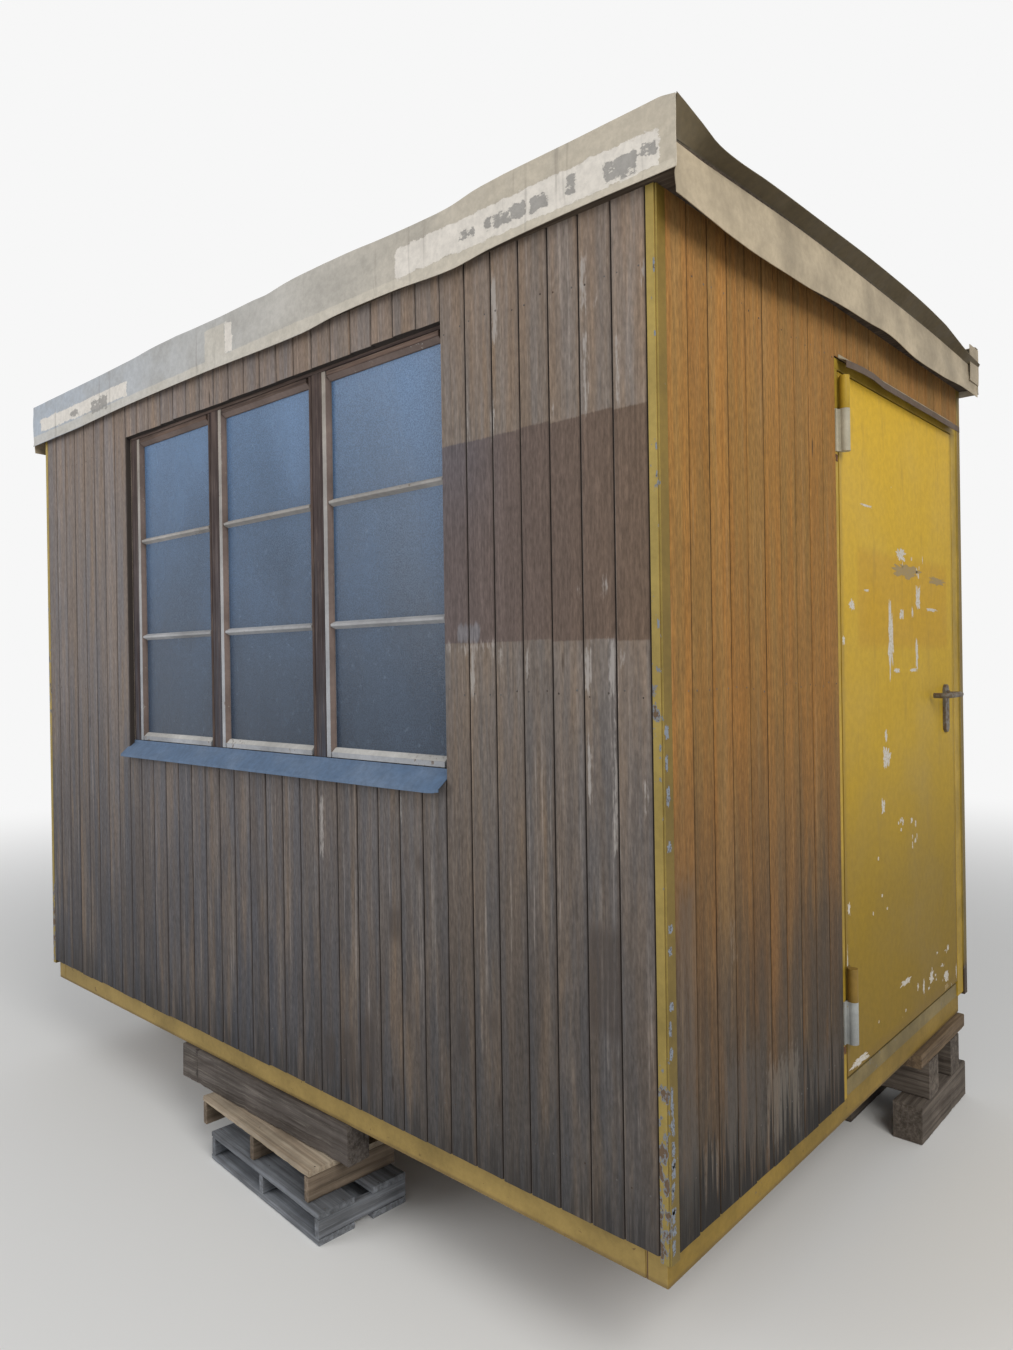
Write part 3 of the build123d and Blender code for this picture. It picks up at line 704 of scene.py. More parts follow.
def glass_with_dust_and_painted_reflection(name):
    """Old glass with a fine grain and dust, whose blue, paler towards the top, is a painted reflection of the
    sky.
    """
    paint = Paint(name, metallic=0.0, transmission_weight=0.08, ior=1.45, specular_ior_level=0.3)
    haze, grain, blots = paint.noise((4, 4, 2), 3, 0.5), paint.noise(260, 3, 0.75), paint.noise(45, 4, 0.7)
    # Painted reflection of the sky: the blue grows paler towards the top of the window.
    value = paint.up(WINDOW_LOW.z, WINDOW_HIGH.z) * 0.75 + haze * 0.40 + blots * 0.12
    paint.shown = paint.ramp(value, (0.20, (0.030, 0.043, 0.065)), (0.50, (0.050, 0.076, 0.120)),
                             (0.75, (0.070, 0.122, 0.210)), (1.0, (0.104, 0.186, 0.325)))
    paint.shade(grain.rise(0.35, 0.65, 0.72, 1.30))
    paint.cover(blots.rise(0.60, 0.74, 0, 0.25), (0.20, 0.27, 0.36))
    return paint.done(roughness=haze.rise(0.3, 0.7, 0.18, 0.34), normal=paint.bump(grain, 0.0004))


def rusty_iron(name, colour, clean):
    paint = Paint(name, metallic=0.3)
    blot = paint.noise(70, 5, 0.7)
    paint.shown = paint.mix(blot.rise(0.42, 0.6), clean, colour)
    paint.cover(paint.noise(160).rise(0.6, 0.7), (0.20, 0.09, 0.04))
    return paint.done(roughness=blot.rise(0.4, 0.6, 0.45, 0.85), normal=paint.bump(blot, 0.0006))


def scab(name, colour, stain):
    """The material of a flake: chalky, with fine dark specks."""
    paint = Paint(name, metallic=0.0, specular_ior_level=0.2, roughness=0.85)
    speck = paint.noise(130, 4, 0.7)
    paint.shown = paint.mix(speck.rise(0.50, 0.62), colour, stain)
    return paint.done(normal=paint.bump(speck, 0.0003))


# Cladding

def board_section(width, groove, depth, parts):
    """A board seen from above, with its groove on the right and its face in a number of parts."""
    face = width - groove
    inner = [(face * k / parts, 0) for k in range(1, parts)]
    return [(0, -CLADDING), (0, -0.0018), (0.0018, 0), *inner, (face - 0.0025, 0), (face, -0.002),
            (face, -depth), (width, -depth), (width, -CLADDING)]


def board_bend(shape, width):
    """The way one board has warped: its face sinks a little, and its edges and foot wander."""
    seed = shape.random.uniform(0, 90)
    sunk = shape.random.uniform(0, 0.0005)
    foot = shape.random.uniform(0, 0.005)

    def bend(t, a, o):
        if o < -0.01:
            return 0, 0, 0
        wave = noise.noise((seed, 3.1 * t, a / width)) * 0.0006
        side = noise.noise((seed + 7, 6 * t, 0)) * 0.0006 if 0 < a < width else 0
        cup = 0.0004 * (1 - (2 * a / width - 1) ** 2)
        return side, -sunk - abs(wave) - cup, foot * (1 - 0.4 * a / width) if t == 0 else 0

    return bend


class Wall:
    """The boards over one wall's outer face, in place of its CAD node. facing holds the directions to the
    wall's right and out of it, and the material. The boards end at stop, or at the node's end."""

    def __init__(self, name, node, facing, seed, wear=None, groove=WIDE_GROOVE, stop=None):
        right, out, material = facing
        self.right, self.out = right, out
        self.groove, depth = groove
        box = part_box(node)
        self.start, end = extent(box, right)
        end = end if stop is None else stop
        self.face = extent(box, out)[1]
        self.low, self.high = box[0].z, box[1].z
        self.count = round((end - self.start) / BOARD_PITCH)
        self.pitch = (end - self.start) / self.count
        tall = self.high - self.low
        shape = Shape(seed)
        parts, step = (8, FINE_STEP) if wear else (2, COARSE_STEP)
        section = board_section(self.pitch, self.groove, depth, parts)
        steps = max(2, round(tall / step))
        for i in range(self.count):
            origin = right * (self.start + i * self.pitch) + out * self.face + Z * self.low
            shape.prism(section, origin, right, out, Z, tall, steps, board_bend(shape, self.pitch))
        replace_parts(piece(name, shape, material, wear=wear), node)

    def nail(self, shape):
        """Rows of small nails, two to a board."""
        for level in NAIL_LEVELS:
            z = CORNER.z + level
            if not self.low + 0.02 < z < self.high - 0.02:
                continue
            for i in range(self.count):
                for inset in (NAIL_INSET, self.pitch - self.groove - NAIL_INSET):
                    a = self.start + i * self.pitch + inset + shape.random.uniform(-0.003, 0.003)
                    up = z + shape.random.uniform(-0.008, 0.008)
                    spot = self.right * a + self.out * (self.face - 0.0014) + Z * up
                    shape.dome(spot, self.out, NAIL_RADIUS, 0.0010)


def side_by_side(name, seed, across, out, along, start, end, count, face, first, last, depth, edge, gap,
                 material):
    """A count of equal boards or panels from start to end, their outer side at face, drawn from first to
    last. Their edges are eased by edge, and their joints are gap wide."""
    shape = Shape(seed)
    pitch = (end - start) / count
    wide = pitch - gap
    joint = [(wide, -JOINT_DEPTH), (pitch, -JOINT_DEPTH)] if gap else []
    section = [(0, -depth), (0, -edge), (edge, 0), (wide - edge, 0), (wide, -edge), *joint, (pitch, -depth)]
    for i in range(count):
        origin = across * (start + i * pitch) + out * face + along * first
        shape.prism(section, origin, across, out, along, last - first)
    return piece(name, shape, material)


def grooved_panels(name, node, across, out, along, width, gap, material, seed):
    """Boards side by side in place of a flat node, with narrow joints in their outer face."""
    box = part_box(node)
    start, end = extent(box, across)
    back, face = extent(box, out)
    first, last = extent(box, along)
    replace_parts(side_by_side(name, seed, across, out, along, start, end, round((end - start) / width), face,
                             first, last, face - back, 0.0015, gap, material), node)


front_wood = weathered_boards("front boards", Boards(
    colours=((0.0, (0.064, 0.058, 0.055)), (0.16, (0.085, 0.074, 0.068)), (0.38, (0.122, 0.104, 0.093)),
             (0.56, (0.172, 0.142, 0.121)), (0.80, (0.190, 0.153, 0.126)), (1.0, (0.215, 0.165, 0.130))),
    pale=(0.34, 0.30, 0.27), dark=(0.050, 0.039, 0.034), drift=(0.235, 0.170, 0.112), foot=0.55, cracks=0.75,
    cold=True, patch=True, bleach=0.75, cool=(0.93, 0.99, 1.07), warm=(1.07, 1.0, 0.92)))
# The end wall runs from a dark foot to orange above: partly weathering, partly painted sunlight on the upper
# boards and painted shade lower down.
end_wood = weathered_boards("end wall boards", Boards(
    colours=((0.0, (0.054, 0.048, 0.043)), (0.08, (0.066, 0.052, 0.041)), (0.22, (0.090, 0.060, 0.038)),
             (0.34, (0.148, 0.086, 0.038)), (0.50, (0.228, 0.118, 0.035)), (0.75, (0.258, 0.131, 0.034)),
             (1.0, (0.262, 0.136, 0.042))),
    pale=(0.27, 0.18, 0.09), dark=(0.024, 0.021, 0.018), drift=(0.26, 0.130, 0.042), foot=0.95, cracks=0.85,
    stain=0.9, bleach=0.42, cool=(0.93, 1.0, 1.08), bleached=(0.190, 0.172, 0.150),
    groove=(0.060, 0.034, 0.018), damp=0.04, edges=0.08))
back_wood = weathered_boards("back boards", Boards(
    colours=((0.0, (0.075, 0.066, 0.062)), (0.3, (0.115, 0.096, 0.086)), (1.0, (0.22, 0.16, 0.11))),
    pale=(0.28, 0.25, 0.22), dark=(0.05, 0.038, 0.030), drift=(0.20, 0.14, 0.09), foot=0.7, cracks=0.8))
lining_board = timber("lining board", (0.55, 0.47, 0.36), (0.62, 0.55, 0.44), (0.50, 0.42, 0.31), 0.6)
floor_wood = timber("floor boards", (0.30, 0.21, 0.13), (0.38, 0.29, 0.2), (0.20, 0.135, 0.085), 0.6)
nail_iron = rusty_iron("nail iron", (0.045, 0.028, 0.02), (0.09, 0.085, 0.08))


def clad_walls():
    """Boards on every wall, and their nails."""
    front_wear = wear_from(X, 0.018, 0.07, FRONT_PALE, FRONT_DARK, FRONT_BLUE)
    end_wear = wear_from(Y, 0.045, 0.14, END_PALE, END_DARK, END_BLUE)
    front, end, back, left = (X, -Y, front_wood), (Y, X, end_wood), (-X, Y, back_wood), (-Y, -X, back_wood)
    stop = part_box("front_wall_right")[0].x
    walls = [
        Wall("front_boards_left", "front_wall_left", front, 11, front_wear),
        Wall("front_boards_right", "front_wall_right", front, 12, front_wear),
        Wall("front_boards_below_window", "front_wall_below_window", front, 13, front_wear, stop=stop),
        Wall("front_boards_over_window", "front_wall_over_window", front, 14, front_wear, FLAT_GROOVE, stop),
        Wall("end_boards_beside_door", "right_wall_beside_door", end, 15, end_wear, NARROW_GROOVE),
        Wall("end_boards_over_door", "right_wall_over_door", end, 16, end_wear, NARROW_GROOVE),
        Wall("back_boards", "back_wall", back, 17),
        Wall("left_end_boards", "left_wall", left, 18),
    ]
    nails = Shape(19)
    for wall in walls:
        wall.nail(nails)
    piece("board_nails", nails, nail_iron)


def line_walls():
    """The inner part of every wall, from the back of the boards to the room, in panels."""
    low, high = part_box("floor_boards")
    door_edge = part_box("door_jambs")[0].y
    head_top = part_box("door_head")[1].z
    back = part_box("back_wall")[1].y - CLADDING
    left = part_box("left_wall")[0].x + CLADDING
    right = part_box("right_wall_beside_door")[1].x - CLADDING
    front_side = -X, Y, WINDOW_LOW.y, low.y
    end_side = -Y, -X, -right, -high.x
    panels = (
        ("front_lining_left", *front_side, -WINDOW_LOW.x, -low.x, RAIL_TOP, WALL_TOP, 30),
        ("front_lining_right", *front_side, -high.x, -WINDOW_HIGH.x, RAIL_TOP, WALL_TOP, 31),
        ("front_lining_below_window", *front_side, -WINDOW_HIGH.x, -WINDOW_LOW.x, RAIL_TOP, WINDOW_LOW.z, 32),
        ("front_lining_over_window", *front_side, -WINDOW_HIGH.x, -WINDOW_LOW.x, WINDOW_HIGH.z, WALL_TOP, 33),
        ("back_lining", X, -Y, -back, -high.y, low.x, high.x, RAIL_TOP, WALL_TOP, 35),
        ("left_end_lining", Y, X, left, low.x, low.y, high.y, RAIL_TOP, WALL_TOP, 36),
        ("end_lining_beside_door", *end_side, -door_edge, -low.y, RAIL_TOP, WALL_TOP, 37),
        ("end_lining_over_door", *end_side, -high.y, -door_edge, head_top, WALL_TOP, 38),
    )
    for name, across, out, behind, face, start, end, bottom, top, seed in panels:
        count = max(1, round((end - start) / LINING_WIDTH))
        side_by_side(name, seed, across, out, Z, start, end, count, face, bottom, top, face - behind, 0.003,
                     0, lining_board)


clad_walls()
line_walls()


# Base frame, floor, ceiling and corner posts

def post_chips(paint):
    """More chips along the arris of the posts, most at breast height and near the foot."""
    near = paint.y.rise(-0.006, -0.020)
    middle = paint.z.band(0.95, 1.65, 0.25)
    foot = paint.z.rise(0.75, 0.15)
    return (near + 0.12) * (middle * 0.13 + foot * 0.17)


def post_coat(paint):
    """Mustard on the window side and darker on the end as painted shade, a darker band in the notch along the
    arris, and bare rust at the foot of the far post.
    """
    height = paint.up(RAIL_TOP, WALL_TOP)
    front = paint.mix(height, (0.270, 0.200, 0.055), (0.365, 0.265, 0.068))
    end = paint.mix(height, (0.150, 0.108, 0.030), (0.195, 0.125, 0.022))
    # Painted shade: the end faces get a darker copy of the window side's mustard.
    shown = paint.mix(paint.on_end(), front, end)
    bare = paint.z.rise(0.20, 0.15) * paint.y.rise(0.9, 1.0) * paint.x.rise(-1.0, -0.9)
    shown = paint.mix(bare, shown, (0.055, 0.035, 0.022))
    arris = paint.x.band(0.0165, 0.0225, 0.001) * paint.y.band(-0.0225, -0.0165, 0.001)
    return paint.mix(arris * 0.45, shown, (0.10, 0.07, 0.035))


def rail_coat(paint):
    """Pale mustard in front, more orange and darker on the ends as painted shade, with rust spots and a
    darker lower edge.
    """
    # Painted shade: the end faces get a darker copy of the front's mustard.
    shown = paint.mix(paint.on_end(), (0.315, 0.220, 0.070), (0.250, 0.162, 0.030))
    shown = paint.mix(paint.z.rise(0.014, 0.006, 0, 0.5), shown, (0.12, 0.075, 0.035))
    seam = paint.x.band(-0.052, -0.049, 0.0006) * paint.y.rise(0.02, 0.01)
    rust = paint.noise(24, 4, 0.65).rise(0.66, 0.70, 0, 0.7)
    return paint.mix(seam.most(rust), shown, (0.10, 0.05, 0.025))


post_paint = worn_paint("post paint", post_coat, (0.180, 0.190, 0.205), (0.12, 0.08, 0.05), chips=0.72,
                        dirt=0.2, extra=post_chips)
rail_paint = worn_paint("rail paint", rail_coat, (0.17, 0.13, 0.085), (0.07, 0.04, 0.025), chips=0.40,
                        dirt=0.28, roughness=0.6)
for name in ("base_rail_front", "base_rail_back", "base_rail_left", "base_rail_right"):
    finish_cad(name, rail_paint, 0.003)
finish_cad("corner_posts", post_paint, 0.0012)
dark_timber = timber("dark timber", (0.10, 0.075, 0.055), (0.16, 0.13, 0.10), (0.05, 0.036, 0.026),
                     order="xyz")
finish_cad("floor_bearers", dark_timber, 0.002)
finish_cad("roof_deck", dark_timber)


def chip_post():
    """Flakes of the post's older blue-grey coat, where the yellow has come off."""
    shape = Shape(52)
    low_post = [(z, z + shape.random.uniform(0.012, 0.04)) for z in LOW_POST_CHIPS]
    for z0, z1 in (*POST_SIDE_CHIPS, *low_post):
        width = shape.random.uniform(0.012, 0.021)
        y = -POST_NOTCH + width / 2 + shape.random.uniform(0, 0.004)
        shape.flake(CORNER + Vector((POST_PROUD, y, (z0 + z1) / 2)), Y, Z, width, z1 - z0)
    for z0, z1 in POST_FRONT_CHIPS:
        width = shape.random.uniform(0.004, 0.008)
        middle = CORNER + Vector((POST_NOTCH - width / 2, -POST_PROUD, (z0 + z1) / 2))
        shape.flake(middle, X, Z, width, z1 - z0)
    piece("post_old_coat", shape, scab("old blue coat", (0.200, 0.225, 0.265), (0.10, 0.085, 0.07)))


chip_post()
grooved_panels("floor_planks", "floor_boards", Y, Z, X, 0.14, 0.002, floor_wood, 50)
grooved_panels("ceiling_panels", "ceiling", -X, -Z, Y, 0.6, 0.003, lining_board, 51)


# Window

def casement(node, name, seed):
    """A sash with two glazing bars. Its left stile, bottom rail and bars are pale, the rest bare and dark."""
    low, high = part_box(node)
    pale, dark, white_putty, brown_putty = [Shape(seed + k) for k in range(4)]
    left, right = low.x + SASH_STILE, high.x - SASH_STILE
    tall, wide = high.z - low.z, right - left
    at_left, at_right = Vector((low.x, low.y, low.z)), Vector((high.x, low.y, low.z))
    bottom, top = Vector((left, low.y, low.z)), Vector((left, low.y, high.z))
    sides = (
        (pale, brown_putty, at_left, Z, X, tall, SASH_STILE, SASH_RAIL, NARROW_PUTTY),
        (dark, white_putty, at_right, Z, -X, tall, SASH_STILE, SASH_RAIL, PUTTY),
        (pale, white_putty, bottom, X, Z, wide, SASH_RAIL, 0, PUTTY),
        (dark, brown_putty, top, X, -Z, wide, SASH_RAIL, 0, PUTTY),
    )
    for wood, putty, corner, along, inward, length, thick, end, bevel in sides:
        rebate = thick - bevel
        edge = thick - 0.0008
        section = [(0, -SASH_DEPTH), (0, -0.001), (0.001, 0), (rebate, 0), (rebate, -GLASS_SETBACK),
                   (thick, -GLASS_SETBACK), (thick, -SASH_DEPTH)]
        wood.prism(section, corner, inward, -Y, along, length, 8)
        bead = [(rebate, -0.0006), (edge, -PUTTY), (edge, -GLASS_SETBACK), (rebate, -GLASS_SETBACK)]
        start = max(end - PUTTY, 0)
        shift = putty.random.uniform(0, 50)

        def wobble(t, a, o):
            return 0, noise.noise((shift, 30 * t, a * 99)) * 0.0007 - 0.0003 if o > -0.015 else 0, 0

        putty.prism(bead, corner + along * start, inward, -Y, along, length - start - start, 30, wobble)
    half = BAR_HEIGHT / 2
    back = -GLASS_SETBACK - 0.004
    outside = [(-half, -GLASS_SETBACK), (-0.0030, -0.003), (0.0035, -0.003), (half, -GLASS_SETBACK)]
    inside = [(-0.008, back - 0.016), (-half, back), (half, back), (0.008, back - 0.016)]
    for level in BAR_LEVELS:
        origin = Vector((left - 0.002, low.y, CORNER.z + level))
        for section in (outside, inside):
            pale.prism(section, origin, Z, -Y, X, wide + 0.004, 12)
    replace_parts(piece(name, pale, sash_pale), node)
    piece(name + "_bare_wood", dark, sash_dark)
    piece(name + "_putty", white_putty, old_putty)
    piece(name + "_bare_putty", brown_putty, bare_putty)


def bar_coat(paint):
    """Cream paint, greyer at the foot of the window."""
    return paint.mix(paint.up(WINDOW_LOW.z + 0.3, WINDOW_HIGH.z), (0.37, 0.38, 0.40), (0.37, 0.325, 0.275))


sash_pale = worn_paint("sash paint", bar_coat, (0.22, 0.19, 0.17), (0.12, 0.095, 0.08), chips=0.95, size=0.8,
                       roughness=0.75)
sash_dark = timber("bare sash", (0.135, 0.090, 0.070), (0.22, 0.17, 0.14), (0.050, 0.034, 0.030))
old_putty = worn_paint("old putty", (0.47, 0.46, 0.44), (0.30, 0.28, 0.26), (0.13, 0.11, 0.09), chips=1.1,
                       size=0.6, roughness=0.85, dirt=0.25)
bare_putty = worn_paint("bare putty", (0.20, 0.15, 0.13), (0.34, 0.31, 0.28), (0.08, 0.05, 0.04), chips=0.9,
                        size=0.6, roughness=0.85, dirt=0.35)
casement("window_sash_left", "casement_left", 60)
casement("window_sash_middle", "casement_middle", 64)
casement("window_sash_right", "casement_right", 68)
finish_cad("window_glass", glass_with_dust_and_painted_reflection("glass with dust and painted reflection"))
# The frame's colours run from a cooler, darker foot to a warmer top as painted shade and light.
for part, order, low in (("posts", "zxy", (0.056, 0.062, 0.080)), ("rails", "xyz", (0.075, 0.066, 0.068))):
    stain = timber("window " + part, (0.112, 0.078, 0.064), (0.19, 0.15, 0.13), (0.042, 0.029, 0.028),
                   order=order, low=low)
    finish_cad("window_frame_" + part, stain, 0.002)


def folded_strip(name, node, section, across, out, along, length, material, seed, bend):
    """A thin folded sheet in place of its node, drawn from where its upper edge meets the wall."""
    low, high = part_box(node)
    shape = Shape(seed)
    origin = Vector((low.x, high.y if out == -Y else low.y, high.z))
    shape.prism(section, origin, across, out, along, length, 80, bend)
    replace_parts(piece(name, shape, material, smooth=30), node)


def sill():
    """The zinc sill: a little wavy, and curled up at its right end."""
    low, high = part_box("window_sill_flashing")
    drop, depth = high.z - low.z, high.y - low.y
    section = [(0, 0), (0, SHEET), (-0.0095, SHEET), (-drop + 0.0085, depth), (-drop, depth),
               (-drop, depth - SHEET), (-drop + 0.0075, depth - SHEET), (-0.0105, 0)]

    def bend(t, a, o):
        share = o / depth
        wave = abs(noise.noise((3.7, 9 * t, 0)) * 0.0016 * share)
        curl = max(0, (t - 0.975) / 0.025) ** 2 * 0.005 * share
        return curl - wave * 0.3, -wave, 0

    metal = zinc("sill zinc", (0.076, 0.128, 0.215), (0.118, 0.170, 0.255), 0.6, 0.05)
    folded_strip("sill_sheet", "window_sill_flashing", section, Z, -Y, X, high.x - low.x, metal,
                 54, bend)


sill()


# Door

def door_face():
    """Yellow paint, more orange above and duller towards the foot, partly as fading and partly as painted
    shade, with a soft rectangle of painted shade, darker edges and small chips.
    """
    paint = Paint("door paint", metallic=0.0, specular_ior_level=0.22)
    cloud = paint.noise(2.2, 4)
    height = paint.z.line(0.1, 2.1) + (cloud - 0.5) * 0.30
    # Painted shade, in part: the leaf darkens towards its foot, the rest being faded, dirtier paint.
    paint.shown = paint.ramp(height, (0.0, (0.195, 0.124, 0.014)), (0.25, (0.255, 0.163, 0.013)),
                             (0.5, (0.430, 0.275, 0.020)), (1.0, (0.570, 0.355, 0.022)))
    # Painted shade: a soft rectangle across the leaf is made darker and more orange.
    y, z, width, tall = DOOR_SHADED
    shaded = paint.y.band(y - width / 2, y + width / 2, 0.02) * paint.z.band(z - tall / 2, z + tall / 2, 0.02)
    paint.cover(shaded * 0.5, paint.mix(1.0, paint.shown, (0.86, 0.74, 0.60), "MULTIPLY"))
    paint.shade(paint.noise(45, 4, 0.65).rise(0.3, 0.7, 0.93, 1.06))
    paint.cover(paint.noise((3, 21, 3.6), 4, 0.6).rise(0.55, 0.75, 0, 0.22), (0.20, 0.13, 0.04))
    rim = paint.y.rise(0.945, 0.918).most(paint.z.rise(0.175, 0.135)).most(paint.y.rise(1.90, 1.922))
    paint.cover(rim * 0.35, (0.16, 0.10, 0.035))
    low = paint.z.rise(0.45, 0.25) * paint.y.rise(1.3, 1.7)
    chip = (paint.noise(26, 5, 0.68) + low * 0.10).rise(0.75, 0.765)
    paint.cover(chip, (0.55, 0.53, 0.49))
    dents = paint.bump(paint.noise(2.5, 1), 0.008)
    return paint.done(roughness=cloud.rise(0.3, 0.7, 0.50, 0.66), normal=paint.bump(chip * -1, 0.0004, dents))


def mark_door():
    """What is left of other coats, glue and filler on the leaf, as thin ragged flakes."""
    white, dull = Shape(55), Shape(56)

    def mark(shape, y, z, width, height):
        y = min(max(CORNER.y + y, LEAF_LOW.y + 0.002 + width / 2), LEAF_HIGH.y - 0.002 - width / 2)
        z = max(CORNER.z + z, LEAF_LOW.z + 0.002 + height / 2)
        shape.flake(Vector((LEAF_HIGH.x, y, z)), Y, Z, width, height, 0.0004, 0.7, 44)

    for row in DOOR_WHITE:
        mark(white, *row)
    draw = white.random.uniform
    for y, z, width, height in DOOR_CLUSTERS:
        for _ in range(6):
            mark(white, y + draw(-0.5, 0.5) * width, z + draw(-0.5, 0.5) * height,
                 draw(0.006, 0.022), draw(0.008, 0.030))
    for row in DOOR_DULL:
        mark(dull, *row)
    chalk = scab("old white", (0.54, 0.51, 0.46), (0.40, 0.32, 0.19))
    glue = scab("old glue", (0.30, 0.225, 0.12), (0.36, 0.25, 0.07))
    piece("door_white_marks", white, chalk, "door")
    piece("door_dull_marks", dull, glue, "door")


def hinge_coat(upper, lower):
    """One colour for the upper hinge and one for the lower."""
    return lambda paint: paint.mix(paint.z.rise(1.0, 1.2), lower, upper)


def jamb_rust():
    """Rust on the jamb below each hinge."""
    shape = Shape(57)
    for z, height in ((1.862, 0.026), (0.212, 0.030)):
        shape.flake(Vector((LEAF_HIGH.x, CORNER.y + 0.899, CORNER.z + z)), Y, Z, 0.018, height)
    piece("jamb_rust", shape, scab("rust", (0.12, 0.055, 0.028), (0.06, 0.03, 0.02)))


def drip_coat(paint):
    """Khaki above, brown on the lip."""
    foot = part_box("door_drip_strip")[0].z - CORNER.z
    paint.shown = paint.mix(paint.z.rise(foot + 0.020, foot + 0.028), (0.085, 0.055, 0.035), paint.shown)


def drip_strip():
    """The strip over the door, bulged out near its hinge end."""
    low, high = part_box("door_drip_strip")
    reach, foot = high.x - low.x, low.z - high.z
    section = [(0, 0), (0, SHEET), (-0.0091, SHEET), (foot + 0.019, reach), (foot, reach),
               (foot, reach - SHEET), (foot + 0.0175, reach - SHEET), (-0.0105, 0)]

    def bend(t, a, o):
        bulge = math.sin(math.pi * t / 0.28) if t < 0.28 else 0
        kink = noise.noise((8.1, 14 * t, 0))
        share = max(0, o / reach)
        return (0.003 * bulge + abs(kink) * 0.0012) * share, (0.006 * bulge + abs(kink) * 0.0015) * share, 0

    metal = zinc("drip strip", (0.33, 0.28, 0.19), (0.20, 0.15, 0.09), 0.6, 0.1, drip_coat)
    folded_strip("drip_sheet", "door_drip_strip", section, Z, X, Y, high.y - low.y, metal,
                 58, bend)


finish_cad("door_leaf", door_face(), 0.003)
mark_door()
jamb_paint = worn_paint("jamb paint", (0.40, 0.260, 0.030), (0.30, 0.22, 0.10), (0.10, 0.06, 0.03),
                        chips=0.45, dirt=0.35)
for name in ("door_jambs", "door_head"):
    finish_cad(name, jamb_paint, 0.0015)
for name, upper, lower in (("hinge_frame_halves", (0.46, 0.42, 0.32), (0.34, 0.35, 0.34)),
                           ("hinge_leaf_halves", (0.48, 0.31, 0.030), (0.235, 0.145, 0.030))):
    coat = worn_paint(name + " paint", hinge_coat(upper, lower), (0.30, 0.22, 0.12), (0.10, 0.05, 0.028),
                      chips=0.8)
    finish_cad(name, coat, 0.0008)
old_iron = rusty_iron("old iron", (0.115, 0.078, 0.045), (0.13, 0.12, 0.10))
for name in ("handle_plate", "door_lever"):
    finish_cad(name, old_iron, 0.0006)
worn_step = worn_paint("threshold", (0.205, 0.155, 0.062), (0.17, 0.165, 0.15), (0.10, 0.07, 0.045),
                       chips=0.9, dirt=0.4)
finish_cad("door_threshold", worn_step, 0.001)
jamb_rust()
drip_strip()


# Roof

def fascia_paint(name):
    """Grey zinc, bluer towards the left end partly as painted shade, creamy to the right, with what is left
    of a white coat.
    """
    paint = Paint(name, metallic=0.1)
    white, bare, light = paint.marks("wear")
    blot = paint.noise(5, 5, 0.6)
    ragged = paint.noise((34, 34, 54.4), 6, 0.75) - 0.5
    # Painted shade, in part: the zinc turns bluer towards the left end.
    paint.shown = paint.mix(paint.x.line(-2.9, -0.4), (0.345, 0.385, 0.440), (0.450, 0.400, 0.320))
    paint.cover(blot.rise(0.40, 0.65, 0, 0.4), (0.31, 0.295, 0.265))
    paint.cover((light + ragged * 0.8).rise(0.40, 0.60, 0, 0.5), (0.56, 0.51, 0.42))
    coat = (white + ragged * 2.2).rise(0.42, 0.56)
    bare = (bare + ragged * 3.0).rise(0.66, 0.82)
    paint.cover(coat * 0.92, (0.64, 0.60, 0.545))
    paint.cover(bare * 0.85, (0.235, 0.225, 0.21))
    paint.shade(paint.noise(55, 4, 0.7).rise(0.3, 0.7, 0.90, 1.08))
    paint.cover(paint.noise((40, 40, 2.0)).rise(0.60, 0.75, 0, 0.35), (0.15, 0.13, 0.11))
    relief = (coat - bare) * 0.1 + paint.noise(9) * 0.5
    return paint.done(roughness=blot.rise(0.3, 0.7, 0.55, 0.78), normal=paint.bump(relief, 0.003))


def fascia(name, node, right, out, seed, dent):
    """A folded fascia whose top and lower edges wander, and whose face is dented outwards."""
    low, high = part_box(node)
    start, end = extent((low, high), right)
    face = extent((low, high), out)[1] - FASCIA_KICK - SHEET
    tall = high.z - low.z - SHEET
    shape = Shape(seed)
    seat = shape.random.uniform(0, 40)
    rows = 18

    def swell(a):
        kick = FASCIA_KICK * max(0, 1 - a / FASCIA_CREASE)
        return kick + 0.0016 * math.sin(math.pi * share_of(a, 0.034, tall))

    heights = [tall * k / rows for k in range(rows + 1)]
    section = [(a, swell(a)) for a in heights]
    section += [(tall, -FASCIA_LIP), (tall + SHEET, -FASCIA_LIP), (tall + SHEET, SHEET)]
    section += [(a, swell(a) + SHEET) for a in reversed(heights)]

    def bend(t, a, o):
        x = high.x - CORNER.x - (end - start) * (1 - t)
        share = share_of(a, 0, tall)
        top = min(FASCIA_WAVE * (on_line(FASCIA_TOP, x) - FASCIA_CAD_TOP) - FASCIA_TOP_SHIFT, 0)
        foot = on_line(FASCIA_LOW, x) - FASCIA_CAD_LOW
        bulge = abs(noise.noise((seat, 5 * t, 7 * a)) + 0.6 * noise.noise((seat + 9, 21 * t, 15 * a)))
        fold = share_of(a - FASCIA_CREASE, 0, 0.03) * (1 - 0.5 * share)
        return foot * (1 - share) + top * share, min(bulge, 1) * dent * fold, 0

    shape.prism(section, right * start + out * face + Z * low.z, Z, out, right, end - start, 320, bend)
    wear = wear_from(X, 0.014, 0.012, FASCIA_WHITE, FASCIA_BARE, FASCIA_LIGHT)
    made = piece(name, shape, fascia_paint(name + " paint"), smooth=35, wear=wear)
    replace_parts(made, node)


